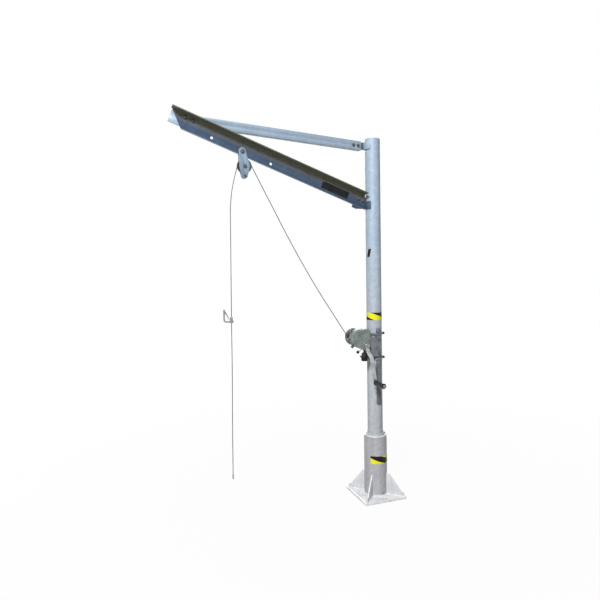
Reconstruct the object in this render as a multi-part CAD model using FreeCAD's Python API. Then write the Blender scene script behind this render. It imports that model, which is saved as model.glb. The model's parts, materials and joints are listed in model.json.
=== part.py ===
"""Davit crane: a mast turning in a bolted socket, a jib with its tie bar, a pulley block and a hand winch.

Millimetres, +Z up. The origin is on the mast axis at the underside of the base plate.
The jib points along -X.
"""

import FreeCAD
import Part
import math
import os

V = FreeCAD.Vector
os.makedirs("parts", exist_ok=True)

# Shared fits
OVERRUN = 1.0
RUNNING_FIT = 0.05
BOLT_FIT = 0.5
SEAT_GAP = 0.3
PARALLEL_SHARE = 0.999

# Base plate and gussets
PLATE_SIDE = 300.0
PLATE_THICK = 15.0
PLATE_CORNER_R = 8.0
ANCHOR_CIRCLE_R = 118.0
ANCHOR_HOLE_R = 9.0
ANCHOR_COUNT = 4
GUSSET_THICK = 10.0
GUSSET_TALL = 135.0
GUSSET_FOOT_R = 192.0
GUSSET_TOE_TALL = 24.0
GUSSET_LIP = 14.0

# Socket and bushes
SOCKET_R = 76.2
SOCKET_WALL = 8.0
SOCKET_TOP_Z = 400.0
DRAIN_HOLE_R = 6.0
DRAIN_HOLE_RISE = 14.0
DRAIN_TURN_DEG = 14.0
BUSH_TALL = 60.0
BUSH_FLANGE_R = 70.0
BUSH_FLANGE_TALL = 6.0
THRUST_PAD_R = 50.0
THRUST_PAD_TALL = 10.0

# Mast
MAST_R = 50.8
MAST_WALL = 5.0
MAST_TOP_Z = 2400.0
CAP_TALL = 8.0
CAP_PLUG_TALL = 20.0
CAP_EDGE_R = 3.0
COLLAR_R = 60.0
COLLAR_TALL = 14.0
COLLAR_SCREW_R = 4.0
COLLAR_SCREW_PROUD = 7.0
COLLAR_SCREW_TURN_DEG = -20.0

# Jib beam, a deep angle rising from the mast
JIB_RISE_DEG = 20.6
JIB_DROP = 448.0
JIB_DEPTH = 103.0
JIB_WEB_THICK = 6.0
JIB_FLANGE_WIDE = 60.0
JIB_ROOT_X = -60.0
JIB_TIP_U = 1442.0
JIB_TIP_MITRE = 95.0
WEB_HOLE_R = 9.0
WEB_HOLE_RISE = 27.0
WEB_HOLE_FIRST_U = 760.0
WEB_HOLE_PITCH = 200.0
WEB_HOLE_COUNT = 3
BLOCK_HOLE_INDEX = 1

# Tie bar, a channel behind the jib
TIE_ROOT_X = -81.0
TIE_END_PAST = 58.517
TIE_ROOT_DROP = 48.0
TIE_BOLT_DROP = 1.664
TIE_DEPTH = 60.0
TIE_FLANGE_WIDE = 40.0
TIE_WALL = 5.0

# Brackets and frame bolts
LUG_THICK = 8.0
LUG_REACH = 76.0
LUG_DROP = 16.0
SADDLE_WALL = 8.0
SADDLE_TALL = 50.0
SADDLE_SPAN_DEG = 96.0
FRAME_BOLT_R = 6.0
FRAME_BOLT_FLATS = 19.0
FRAME_HEAD_TALL = 7.5
FRAME_NUT_TALL = 10.0
FRAME_BOLT_PROUD = 3.0
LUG_BOLT_EDGE = 22.0
LUG_BOLT_PITCH = 34.0
CLEAT_THICK = 6.0
CLEAT_LONG = 190.0
CLEAT_DEPTH = 76.0
CLEAT_SETBACK = 7.0
TIP_BOLT_SETBACK = 142.0
TIP_BOLT_PITCH = 50.0
TIP_BOLT_RISE = 25.0

# Pulley block
BLOCK_DROP = 92.0
BLOCK_LEAN = 15.0
CHEEK_THICK = 5.0
CHEEK_TOP_R = 22.0
CHEEK_MID_R = 34.0
CHEEK_LOW_R = 20.0
CHEEK_LOW_DROP = 58.0
SHEAVE_PITCH_R = 42.0
SHEAVE_RIM_R = 46.0
SHEAVE_WIDE = 15.0
SHEAVE_HUB_R = 18.0
SHEAVE_WEB_THICK = 8.0
SHEAVE_RIM_WALL = 8.0
SHEAVE_SIDE_GAP = 0.5
SHEAVE_BUSH_WALL = 3.0
BLOCK_PIN_R = 7.0
BLOCK_HEAD_TALL = 8.0
BLOCK_HEAD_FLATS = 24.0
HANGER_R = 8.0
GUARD_PIN_R = 5.0

# Hoist rope
ROPE_R = 2.5
LEAD_BEND_X = -502.5
LEAD_BEND_Z = 1529.3
LEAD_CLEAR = 22.0
FALL_BENDS = [(-966.0, 2069.0), (-983.0, 1935.0)]
BEND_SHARE = 0.45
TAIL_END_Z = 243.0
END_SLEEVE_R = 4.5
END_SLEEVE_TALL = 28.0

# Hook on the rope
HOOK_TOP_Z = 1240.0
HOOK_SLEEVE_R = 8.0
HOOK_SLEEVE_TALL = 36.0
HOOK_BAR_R = 5.0
HOOK_REACH = 46.0
HOOK_BASE_DROP = 28.0
HOOK_NOSE_RISE = 44.0
HOOK_BEND_R = 16.0
HOOK_RING_WALL = 4.0
HOOK_RING_TALL = 14.0
NOSE_LUG_THICK = 6.0
LATCH_PIN_R = 2.0
LATCH_WALL = 2.0
LATCH_DEPTH = 8.0
LATCH_BRIDGE = 10.0
NOSE_FLAT_LONG = 40.0

# Winch frame, bracket and mounting bar
BAR_WIDE = 27.0
BAR_THICK = 10.0
BAR_TOP_Z = 1125.0
BAR_END_Z = 620.0
BAND_WALL = 3.0
BAND_TALL = 14.0
BAND_ZS = [922.0, 1085.0]
BAND_EAR_LONG = 20.0
BAND_EAR_THICK = 4.0
BAND_SPLIT = 6.0
BAND_CORNER_R = 1.0
BAND_SCREW_R = 4.0
BAND_KNOB_R = 8.0
BAND_KNOB_TALL = 10.0
BRACKET_THICK = 8.0
BRACKET_LOW_Z = 940.0
BRACKET_HIGH_Z = 1072.0
FRAME_WALL = 5.0
FRAME_NEAR_Y = -36.0
FRAME_INSIDE = 74.0
FRAME_LOW_Z = 975.0
FRAME_HIGH_Z = 1096.0
FRAME_DRUM_R = 28.0
FRAME_PINION_R = 22.0
MOUNT_BOLT_R = 5.0
MOUNT_HEAD_R = 8.0
MOUNT_HEAD_TALL = 6.0
MOUNT_BOLT_INSET = 20.0

# Drum, gears and brake
DRUM_X = -143.0
DRUM_Z = 1066.0
DRUM_PITCH_R = 42.0
DRUM_FLANGE_R = 56.0
DRUM_FLANGE_THICK = 4.0
DRUM_SIDE_GAP = 2.0
DRUM_SHAFT_R = 9.0
DRUM_SHAFT_PROUD = 4.0
WINCH_BUSH_WALL = 4.0
ROPE_SEAT = 0.1
WOUND_TURNS = 6
WOUND_PITCH = 5.6
QUARTERS = 4
GEAR_MODULE = 2.0
GEAR_TEETH = 54
PINION_TEETH = 12
GEAR_WIDE = 10.0
GEAR_STANDOFF = 4.0
GEAR_WEB_THICK = 5.0
GEAR_HUB_R = 18.0
GEAR_RIM_WALL = 7.0
MESH_TURN_DEG = -45.0
TOOTH_ADDENDUM_SHARE = 0.9
TOOTH_DEDENDUM_SHARE = 1.25
TOOTH_ROOT_SHARE = 0.52
TOOTH_TIP_SHARE = 0.2
PINION_OVERHANG = 1.0
PINION_SHAFT_R = 8.0
RATCHET_R = 20.0
RATCHET_TOOTH_DEEP = 3.0
RATCHET_TEETH = 12
RATCHET_THICK = 6.0
BRAKE_DISC_R = 19.0
BRAKE_DISC_THICK = 3.0
PAWL_TURN_DEG = 211.0
PAWL_REACH = 30.0
PAWL_EYE_R = 6.0
PAWL_PIN_R = 4.0
PAWL_NOSE_DEG = 250.0
PAWL_NOSE_WIDE = 5.0
PAWL_LEVER_LONG = 46.0
PAWL_LEVER_TURN_DEG = 212.0
PAWL_LEVER_R = 3.0
PAWL_BALL_R = 10.0

# Gear cover and freewheel knob
COVER_DEEP = 36.0
COVER_WALL = 2.5
COVER_DRUM_R = 60.0
COVER_PINION_R = 35.0
COVER_CORNER_R = 25.0
COVER_EDGE_R = 5.0
COVER_BOSS_R = 16.0
COVER_BOSS_TALL = 3.0
COVER_SCREW_R = 3.0
COVER_SCREW_HEAD_R = 5.5
COVER_SCREW_HEAD_TALL = 3.5
COVER_SCREW_ANGLES_DEG = [135.0, 185.0, 235.0]
COVER_EAR_R = 10.0
COVER_EAR_OUT = 7.0
COVER_EAR_THICK = 3.0
KNOB_X = -104.0
KNOB_Y = -56.0
KNOB_STEM_R = 7.0
KNOB_STEM_TALL = 16.0
KNOB_STEM_IN = 5.0
KNOB_NECK_R = 18.0
KNOB_DISC_R = 30.0
KNOB_GRIP_R = 21.0
KNOB_NECK_TALL = 20.0
KNOB_DISC_TALL = 9.0
KNOB_GRIP_TALL = 24.0
KNOB_EDGE_R = 3.0

# Crank
CRANK_THROW = 240.0
CRANK_LEAN_DEG = 8.6
CRANK_WIDE = 26.0
CRANK_THICK = 8.0
CRANK_STANDOFF = 6.0
CRANK_STEP_OUT = 38.0
CRANK_STEP_FROM = 42.0
CRANK_STEP_TO = 78.0
CRANK_NUT_FLATS = 22.0
CRANK_NUT_TALL = 10.0
GRIP_PIN_R = 6.0
GRIP_R = 14.0
GRIP_LONG = 115.0
GRIP_END_R = 17.0
GRIP_END_LONG = 12.0
GRIP_EDGE_R = 4.0
GRIP_HEAD_R = 10.0
GRIP_HEAD_TALL = 4.0

# Places worked out from the sizes above
JIB_AXIS_Z = MAST_TOP_Z - JIB_DROP
TIE_ROOT_Z = MAST_TOP_Z - TIE_ROOT_DROP
JIB_COS = math.cos(math.radians(JIB_RISE_DEG))
JIB_SIN = math.sin(math.radians(JIB_RISE_DEG))
WEB_Y = JIB_WEB_THICK / 2
CLEAT_TIP_U = JIB_TIP_U - CLEAT_SETBACK
TIP_BOLT_FIRST_U = JIB_TIP_U - TIP_BOLT_SETBACK
CLEAT_Y = WEB_Y + CLEAT_THICK
TIE_Y = CLEAT_Y + TIE_WALL
SOCKET_BORE_R = SOCKET_R - SOCKET_WALL
BUSH_BORE_R = MAST_R + RUNNING_FIT
MAST_FOOT_Z = PLATE_THICK + THRUST_PAD_TALL
COLLAR_Z = SOCKET_TOP_Z + BUSH_FLANGE_TALL
GEAR_PITCH_R = GEAR_MODULE * GEAR_TEETH / 2
PINION_PITCH_R = GEAR_MODULE * PINION_TEETH / 2
GEAR_CENTRES = GEAR_PITCH_R + PINION_PITCH_R
MESH_TURN = math.radians(MESH_TURN_DEG)
PINION_X = DRUM_X + GEAR_CENTRES * math.cos(MESH_TURN)
PINION_Z = DRUM_Z + GEAR_CENTRES * math.sin(MESH_TURN)
NEAR_IN_Y = FRAME_NEAR_Y + FRAME_WALL
FAR_IN_Y = NEAR_IN_Y + FRAME_INSIDE
FAR_OUT_Y = FAR_IN_Y + FRAME_WALL
GEAR_Y = FRAME_NEAR_Y - GEAR_STANDOFF
COVER_Y = FRAME_NEAR_Y - COVER_DEEP
CRANK_Y = COVER_Y - COVER_BOSS_TALL - CRANK_STANDOFF
BAR_Y = -(MAST_R + SEAT_GAP)
BAR_FRONT_Y = BAR_Y - BAR_THICK
BRACKET_X = -(MAST_R + SEAT_GAP)
BAND_SCREW_X = MAST_R + SEAT_GAP + BAND_WALL + BAND_KNOB_R + SEAT_GAP
FRAME_BACK_X = BRACKET_X - BRACKET_THICK
BLOCK_U = WEB_HOLE_FIRST_U + WEB_HOLE_PITCH * BLOCK_HOLE_INDEX
WEB_HOLE_V = WEB_HOLE_RISE - JIB_DEPTH / 2


def box(x0, x1, y0, y1, z0, z1):
    return Part.makeBox(x1 - x0, y1 - y0, z1 - z0, V(x0, y0, z0))


def cyl_y(radius, y0, y1, x, z):
    return Part.makeCylinder(radius, y1 - y0, V(x, y0, z), V(0, 1, 0))


def cyl_z(radius, z0, z1, x=0, y=0):
    return Part.makeCylinder(radius, z1 - z0, V(x, y, z0))


def tube_y(outer, inner, y0, y1, x, z):
    return cyl_y(outer, y0, y1, x, z).cut(cyl_y(inner, y0 - OVERRUN, y1 + OVERRUN, x, z))


def tube_z(outer, inner, z0, z1):
    return cyl_z(outer, z0, z1).cut(cyl_z(inner, z0 - OVERRUN, z1 + OVERRUN))


def prism_y(points, y0, y1):
    """A flat outline of (x, z) points, y0 to y1."""
    corners = [V(x, y0, z) for x, z in points]
    return Part.Face(Part.makePolygon(corners + corners[:1])).extrude(V(0, y1 - y0, 0))


def hex_y(flats, y0, y1, x, z):
    corner_r = flats / math.sqrt(3)
    turns = [math.radians(60 * i) for i in range(6)]
    return prism_y([(x + corner_r * math.cos(t), z + corner_r * math.sin(t)) for t in turns], y0, y1)


def round_edges(shape, radius, direction):
    """Rounds every straight edge that runs along the direction."""
    edges = []
    for edge in shape.Edges:
        if not isinstance(edge.Curve, Part.Line):
            continue
        way = edge.tangentAt(edge.FirstParameter)
        if abs(way.dot(direction)) > PARALLEL_SHARE:
            edges.append(edge)
    return shape.makeFillet(radius, edges)


def round_rims(shape, radius, test):
    """Rounds the circular edges that pass the test."""
    rims = [e for e in shape.Edges if isinstance(e.Curve, Part.Circle)]
    return shape.makeFillet(radius, [e for e in rims if test(e)])


def polar(x, z, radius, turn):
    return (x + radius * math.cos(turn), z + radius * math.sin(turn))


def hull_of_circles(x0, z0, r0, x1, z1, r1, y0, y1):
    """The belt round two circles, as a solid from y0 to y1."""
    apart = math.hypot(x1 - x0, z1 - z0)
    along = math.atan2(z1 - z0, x1 - x0)
    side = math.acos((r0 - r1) / apart)
    corners = [polar(x0, z0, r0, along + side), polar(x0, z0, r0, along - side)]
    corners += [polar(x1, z1, r1, along - side), polar(x1, z1, r1, along + side)]
    belt = prism_y(corners, y0, y1)
    return belt.fuse([cyl_y(r0, y0, y1, x0, z0), cyl_y(r1, y0, y1, x1, z1)]).removeSplitter()


def tangent_point(x, z, radius, px, pz, side):
    """Where a line from (px, pz) touches the circle about (x, z)."""
    turn = math.atan2(pz - z, px - x) + side * math.acos(radius / math.hypot(px - x, pz - z))
    return polar(x, z, radius, turn)


def jib_place(u, v):
    """A point of the jib's own plane, u along it from the mast axis and v across it."""
    return (v * JIB_SIN - u * JIB_COS, JIB_AXIS_Z + u * JIB_SIN + v * JIB_COS)


TIP_MIDDLE = jib_place(TIP_BOLT_FIRST_U + TIP_BOLT_PITCH / 2, TIP_BOLT_RISE)
TIE_TIP_X = TIP_MIDDLE[0] - TIE_END_PAST
TIE_SLOPE = (TIP_MIDDLE[1] - TIE_BOLT_DROP - TIE_ROOT_Z) / (TIP_MIDDLE[0] - TIE_ROOT_X)


def tie_height(x):
    """The middle of the tie bar, on a line from its root to just below the middle of the tip bolts."""
    return TIE_ROOT_Z + TIE_SLOPE * (x - TIE_ROOT_X)


BLOCK_X, BLOCK_Z = jib_place(BLOCK_U, WEB_HOLE_V)
SHEAVE_X = BLOCK_X + BLOCK_LEAN
SHEAVE_Z = BLOCK_Z - BLOCK_DROP
LEAD_TOP = tangent_point(SHEAVE_X, SHEAVE_Z, SHEAVE_PITCH_R, LEAD_BEND_X, LEAD_BEND_Z, 1)
LEAD_END = tangent_point(DRUM_X, DRUM_Z, DRUM_PITCH_R, LEAD_BEND_X, LEAD_BEND_Z, 1)
FALL_TOP = tangent_point(SHEAVE_X, SHEAVE_Z, SHEAVE_PITCH_R, FALL_BENDS[0][0], FALL_BENDS[0][1], -1)
FALL_X = FALL_BENDS[-1][0]
TIP_BOLTS = [jib_place(TIP_BOLT_FIRST_U + TIP_BOLT_PITCH * i, TIP_BOLT_RISE) for i in range(2)]
TIE_BOLT_XS = [TIE_ROOT_X - LUG_BOLT_EDGE - LUG_BOLT_PITCH * i for i in range(2)]
TIE_BOLTS = [(x, tie_height(x)) for x in TIE_BOLT_XS]
ROOT_U = -JIB_ROOT_X / JIB_COS
ROOT_BOLTS = [jib_place(ROOT_U + LUG_BOLT_EDGE + LUG_BOLT_PITCH * i, 0) for i in range(2)]
BOLT_HOLE_R = FRAME_BOLT_R + BOLT_FIT


def drill_y(shape, places, radius, y0, y1):
    return shape.cut([cyl_y(radius, y0 - OVERRUN, y1 + OVERRUN, x, z) for x, z in places])


# Foot


def base_plate():
    half = PLATE_SIDE / 2
    plate = round_edges(box(-half, half, -half, half, 0, PLATE_THICK), PLATE_CORNER_R, V(0, 0, 1))
    for i in range(ANCHOR_COUNT):
        x, y = polar(0, 0, ANCHOR_CIRCLE_R, 2 * math.pi * i / ANCHOR_COUNT)
        plate = plate.cut(cyl_z(ANCHOR_HOLE_R, -OVERRUN, PLATE_THICK + OVERRUN, x, y))
    return plate


def gussets():
    """Four corner plates from the socket to the plate's corners."""
    low = PLATE_THICK
    outline = [(0, low), (GUSSET_FOOT_R, low), (GUSSET_FOOT_R, low + GUSSET_TOE_TALL)]
    outline += [(GUSSET_FOOT_R - GUSSET_LIP, low + GUSSET_TOE_TALL)]
    outline += [(SOCKET_R + GUSSET_LIP, low + GUSSET_TALL), (0, low + GUSSET_TALL)]
    plate = prism_y(outline, -GUSSET_THICK / 2, GUSSET_THICK / 2)
    plate = plate.cut(cyl_z(SOCKET_R, 0, low + GUSSET_TALL + OVERRUN))
    turned = []
    for i in range(ANCHOR_COUNT):
        copy = plate.copy()
        copy.rotate(V(0, 0, 0), V(0, 0, 1), 45 + 360 * i / ANCHOR_COUNT)
        turned.append(copy)
    return Part.makeCompound(turned)


def socket_tube():
    tube = tube_z(SOCKET_R, SOCKET_BORE_R, PLATE_THICK, SOCKET_TOP_Z)
    start = V(0, 0, PLATE_THICK + DRAIN_HOLE_RISE)
    drain = Part.makeCylinder(DRAIN_HOLE_R, SOCKET_R + OVERRUN, start, V(0, -1, 0))
    drain.rotate(V(0, 0, 0), V(0, 0, 1), DRAIN_TURN_DEG)
    return tube.cut(drain)


def lower_bush():
    return tube_z(SOCKET_BORE_R, BUSH_BORE_R, PLATE_THICK, MAST_FOOT_Z + BUSH_TALL)


def upper_bush():
    sleeve = tube_z(SOCKET_BORE_R, BUSH_BORE_R, SOCKET_TOP_Z - BUSH_TALL, SOCKET_TOP_Z)
    return sleeve.fuse(tube_z(BUSH_FLANGE_R, BUSH_BORE_R, SOCKET_TOP_Z, COLLAR_Z)).removeSplitter()


def thrust_pad():
    return cyl_z(THRUST_PAD_R, PLATE_THICK, MAST_FOOT_Z)


# Mast


def mast_tube():
    return tube_z(MAST_R, MAST_R - MAST_WALL, MAST_FOOT_Z, MAST_TOP_Z - CAP_TALL)


def mast_cap():
    seat = MAST_TOP_Z - CAP_TALL
    top = cyl_z(MAST_R, seat, MAST_TOP_Z)
    top = round_rims(top, CAP_EDGE_R, lambda e: e.CenterOfMass.z > seat + CAP_TALL / 2)
    plug_r = MAST_R - MAST_WALL - RUNNING_FIT
    return top.fuse(cyl_z(plug_r, seat - CAP_PLUG_TALL, seat)).removeSplitter()


def turned_about_mast(shape, degrees):
    shape.rotate(V(0, 0, 0), V(0, 0, 1), degrees)
    return shape


def collar_hole(radius):
    start = V(MAST_R, 0, COLLAR_Z + COLLAR_TALL / 2)
    hole = Part.makeCylinder(radius, COLLAR_R - MAST_R + COLLAR_SCREW_PROUD, start, V(1, 0, 0))
    return turned_about_mast(hole, COLLAR_SCREW_TURN_DEG)


def thrust_collar():
    return tube_z(COLLAR_R, MAST_R, COLLAR_Z, COLLAR_Z + COLLAR_TALL).cut(collar_hole(COLLAR_SCREW_R))


def collar_screw():
    return collar_hole(COLLAR_SCREW_R).cut(cyl_z(MAST_R, COLLAR_Z, COLLAR_Z + COLLAR_TALL))


# Jib, tie bar and their brackets


def jib_beam():
    """A deep angle: the web hangs from a flange that looks to the viewer's side, the tip cut back below."""
    half = JIB_DEPTH / 2
    top = half - JIB_WEB_THICK
    tip_low = JIB_TIP_U - JIB_TIP_MITRE
    web = prism_y([jib_place(0, -half), jib_place(tip_low, -half), jib_place(JIB_TIP_U, half),
                   jib_place(0, half)], -WEB_Y, WEB_Y)
    flange = prism_y([jib_place(0, top), jib_place(JIB_TIP_U, top), jib_place(JIB_TIP_U, half),
                      jib_place(0, half)], WEB_Y - JIB_FLANGE_WIDE, WEB_Y)
    beam = web.fuse(flange).removeSplitter()
    beam = beam.cut(box(JIB_ROOT_X, MAST_R, -JIB_FLANGE_WIDE - OVERRUN, WEB_Y + OVERRUN, 0, MAST_TOP_Z))
    spots = [jib_place(WEB_HOLE_FIRST_U + WEB_HOLE_PITCH * i, WEB_HOLE_V) for i in range(WEB_HOLE_COUNT)]
    beam = drill_y(beam, spots, WEB_HOLE_R, -WEB_Y, WEB_Y)
    return drill_y(beam, TIP_BOLTS + ROOT_BOLTS, BOLT_HOLE_R, -WEB_Y, WEB_Y)


def tie_outline(half):
    return [(TIE_ROOT_X, TIE_ROOT_Z - half), (TIE_ROOT_X, TIE_ROOT_Z + half),
            (TIE_TIP_X, tie_height(TIE_TIP_X) + half), (TIE_TIP_X, tie_height(TIE_TIP_X) - half)]


def tie_bar():
    """A channel, its web against the cleat and its flanges away from the viewer."""
    half = TIE_DEPTH / 2
    bar = prism_y(tie_outline(half), CLEAT_Y, CLEAT_Y + TIE_FLANGE_WIDE)
    hollow = prism_y(tie_outline(half - TIE_WALL), TIE_Y, CLEAT_Y + TIE_FLANGE_WIDE + OVERRUN)
    return drill_y(bar.cut(hollow), TIP_BOLTS + TIE_BOLTS, BOLT_HOLE_R, CLEAT_Y, TIE_Y)


def tip_cleat():
    """The plate between the jib's tip and the tie bar's end."""
    half = CLEAT_DEPTH / 2
    ends = (CLEAT_TIP_U - CLEAT_LONG, CLEAT_TIP_U)
    plate = prism_y([jib_place(ends[0], -half), jib_place(ends[1], -half), jib_place(ends[1], half),
                     jib_place(ends[0], half)], WEB_Y, CLEAT_Y)
    return drill_y(plate, TIP_BOLTS, BOLT_HOLE_R, WEB_Y, CLEAT_Y)


def saddle(z):
    """A curved plate on the mast's jib side."""
    low = V(0, 0, z - SADDLE_TALL / 2)
    ring = Part.makeCylinder(MAST_R + SADDLE_WALL, SADDLE_TALL, low, V(0, 0, 1), SADDLE_SPAN_DEG)
    ring.rotate(V(0, 0, 0), V(0, 0, 1), 180 - SADDLE_SPAN_DEG / 2)
    return ring


def jib_bracket():
    far = ROOT_U + LUG_REACH
    drop = JIB_DEPTH / 2 + LUG_DROP
    outline = [(0, JIB_AXIS_Z + SADDLE_TALL / 2), jib_place(far, SADDLE_TALL / 2), jib_place(far, -drop)]
    outline += [jib_place(far - LUG_BOLT_PITCH, -drop), (0, JIB_AXIS_Z - SADDLE_TALL / 2)]
    lug = prism_y(outline, WEB_Y, WEB_Y + LUG_THICK)
    lug = drill_y(lug, ROOT_BOLTS, BOLT_HOLE_R, WEB_Y, WEB_Y + LUG_THICK)
    return saddle(JIB_AXIS_Z).fuse(lug).cut(cyl_z(MAST_R, 0, MAST_TOP_Z)).removeSplitter()


def tie_bracket():
    half = TIE_DEPTH / 2 - TIE_WALL - BOLT_FIT
    far = TIE_ROOT_X - LUG_REACH
    outline = [(0, TIE_ROOT_Z - half), (0, TIE_ROOT_Z + half), (TIE_ROOT_X, TIE_ROOT_Z + half)]
    outline += [(far, tie_height(far) + half), (far, tie_height(far) - half)]
    outline += [(TIE_ROOT_X, TIE_ROOT_Z - half)]
    lug = prism_y(outline, TIE_Y, TIE_Y + LUG_THICK)
    lug = drill_y(lug, TIE_BOLTS, BOLT_HOLE_R, TIE_Y, TIE_Y + LUG_THICK)
    return saddle(TIE_ROOT_Z).fuse(lug).cut(cyl_z(MAST_R, 0, MAST_TOP_Z)).removeSplitter()


FRAME_JOINTS = [(TIP_BOLTS, -WEB_Y, TIE_Y), (ROOT_BOLTS, -WEB_Y, WEB_Y + LUG_THICK),
                (TIE_BOLTS, CLEAT_Y, TIE_Y + LUG_THICK)]


def frame_bolts():
    bolts = []
    for places, head_y, nut_y in FRAME_JOINTS:
        for x, z in places:
            head = hex_y(FRAME_BOLT_FLATS, head_y - FRAME_HEAD_TALL, head_y, x, z)
            shank = cyl_y(FRAME_BOLT_R, head_y, nut_y + FRAME_NUT_TALL + FRAME_BOLT_PROUD, x, z)
            bolts.append(head.fuse(shank))
    return Part.makeCompound(bolts)


def frame_nuts():
    nuts = []
    for places, head_y, nut_y in FRAME_JOINTS:
        for x, z in places:
            nut = hex_y(FRAME_BOLT_FLATS, nut_y, nut_y + FRAME_NUT_TALL, x, z)
            nuts.append(drill_y(nut, [(x, z)], FRAME_BOLT_R + RUNNING_FIT, nut_y, nut_y + FRAME_NUT_TALL))
    return Part.makeCompound(nuts)


# Pulley block

CHEEK_IN_Y = SHEAVE_WIDE / 2 + SHEAVE_SIDE_GAP
CHEEK_OUT_Y = CHEEK_IN_Y + CHEEK_THICK
GUARD_Z = SHEAVE_Z - CHEEK_LOW_DROP


def cheek(y0, y1):
    upper = hull_of_circles(SHEAVE_X, SHEAVE_Z, CHEEK_MID_R, BLOCK_X, BLOCK_Z, CHEEK_TOP_R, y0, y1)
    lower = hull_of_circles(SHEAVE_X, SHEAVE_Z, CHEEK_MID_R, SHEAVE_X, GUARD_Z, CHEEK_LOW_R, y0, y1)
    plate = upper.fuse(lower).removeSplitter()
    plate = drill_y(plate, [(BLOCK_X, BLOCK_Z)], HANGER_R + RUNNING_FIT, y0, y1)
    plate = drill_y(plate, [(SHEAVE_X, SHEAVE_Z)], BLOCK_PIN_R + RUNNING_FIT, y0, y1)
    return drill_y(plate, [(SHEAVE_X, GUARD_Z)], GUARD_PIN_R + RUNNING_FIT, y0, y1)


def cross_pin(radius, x, z):
    """A pin through both cheeks, with a hexagon at each end."""
    flats = BLOCK_HEAD_FLATS * radius / HANGER_R
    pin = cyl_y(radius, -CHEEK_OUT_Y, CHEEK_OUT_Y, x, z)
    head = hex_y(flats, -CHEEK_OUT_Y - BLOCK_HEAD_TALL, -CHEEK_OUT_Y, x, z)
    nut = hex_y(flats, CHEEK_OUT_Y, CHEEK_OUT_Y + BLOCK_HEAD_TALL, x, z)
    return pin.fuse([head, nut]).removeSplitter()


def hanger_spacers():
    outer = CHEEK_TOP_R - CHEEK_THICK
    rings = [(WEB_Y, CHEEK_IN_Y), (-CHEEK_IN_Y, -WEB_Y)]
    bore = HANGER_R + RUNNING_FIT
    return Part.makeCompound([tube_y(outer, bore, a, b, BLOCK_X, BLOCK_Z) for a, b in rings])


def guard_spacer():
    outer = GUARD_PIN_R + CHEEK_THICK
    return tube_y(outer, GUARD_PIN_R + RUNNING_FIT, -CHEEK_IN_Y, CHEEK_IN_Y, SHEAVE_X, GUARD_Z)


def sheave_bush():
    outer = BLOCK_PIN_R + SHEAVE_BUSH_WALL
    return tube_y(outer, BLOCK_PIN_R + RUNNING_FIT, -SHEAVE_WIDE / 2, SHEAVE_WIDE / 2, SHEAVE_X, SHEAVE_Z)


def sheave():
    """A grooved wheel: the groove holds the rope at the pitch radius and opens to the rim."""
    half = SHEAVE_WIDE / 2
    groove_r = ROPE_R + SEAT_GAP
    bore = BLOCK_PIN_R + SHEAVE_BUSH_WALL + RUNNING_FIT
    wheel = tube_y(SHEAVE_RIM_R, bore, -half, half, SHEAVE_X, SHEAVE_Z)
    centre = V(SHEAVE_X, 0, SHEAVE_Z)
    mouth = half - SHEAVE_SIDE_GAP * 2
    past_rim = SHEAVE_RIM_R + OVERRUN
    corners = [(SHEAVE_PITCH_R, -groove_r), (past_rim, -mouth)]
    corners += [(past_rim, mouth), (SHEAVE_PITCH_R, groove_r)]
    points = [V(SHEAVE_X + r, y, SHEAVE_Z) for r, y in corners]
    flare = Part.Face(Part.makePolygon(points + points[:1])).revolve(centre, V(0, 1, 0), 360)
    groove = Part.makeTorus(SHEAVE_PITCH_R, groove_r, centre, V(0, 1, 0))
    pocket_r = SHEAVE_PITCH_R - groove_r - SHEAVE_RIM_WALL
    cuts = [flare, groove]
    for y0, y1 in [(-half - OVERRUN, -SHEAVE_WEB_THICK / 2), (SHEAVE_WEB_THICK / 2, half + OVERRUN)]:
        cuts.append(tube_y(pocket_r, SHEAVE_HUB_R, y0, y1, SHEAVE_X, SHEAVE_Z))
    return wheel.cut(cuts)


# Rope


def straight(a, b):
    return Part.LineSegment(a, b).toShape()


def arc_between(a, corner, b):
    """The arc that leaves a and reaches b along the lines to the corner."""
    middle = (a + b) * 0.5
    half_chord = (a - middle).Length
    lean = math.acos(min(1, half_chord / (a - corner).Length))
    out = corner - middle
    return Part.Arc(a, middle + out * (half_chord * math.tan(lean / 2) / out.Length), b).toShape()


def route_edges(points):
    """Straight runs joined by arcs that take BEND_SHARE of the shorter run at each bend."""
    edges = []
    start = points[0]
    for before, at, after in zip(points, points[1:], points[2:]):
        reach = BEND_SHARE * min((at - before).Length, (after - at).Length)
        into = at + (before - at).normalize() * reach
        out_of = at + (after - at).normalize() * reach
        turn = (at - before).getAngle(after - at)
        print("rope bend radius", round(reach / math.tan(turn / 2)))
        edges += [straight(start, into), arc_between(into, at, out_of)]
        start = out_of
    return edges + [straight(start, points[-1])]


def rope_along(edges, name):
    """A round tube along the edges, and its volume beside section times length."""
    path = Part.Wire(edges)
    first = edges[0]
    start = first.valueAt(first.FirstParameter)
    ring = Part.Wire(Part.makeCircle(ROPE_R, start, first.tangentAt(first.FirstParameter)))
    tube = path.makePipeShell([ring], True, False)
    print(name, "volume share", round(tube.Volume / (math.pi * ROPE_R ** 2 * path.Length), 4))
    return tube


def flat_point(place):
    return V(place[0], 0, place[1])


def rope_lead():
    """Over the sheave and down to the drum, with the slight slack of an unloaded rope."""
    top = V(SHEAVE_X, 0, SHEAVE_Z + SHEAVE_PITCH_R)
    wrap = Part.Arc(flat_point(FALL_TOP), top, flat_point(LEAD_TOP)).toShape()
    bend = V(LEAD_BEND_X, 0, LEAD_BEND_Z)
    end = flat_point(LEAD_END)
    route = [flat_point(LEAD_TOP), bend, end + (bend - end).normalize() * LEAD_CLEAR]
    return rope_along([wrap] + route_edges(route), "lead")


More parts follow.
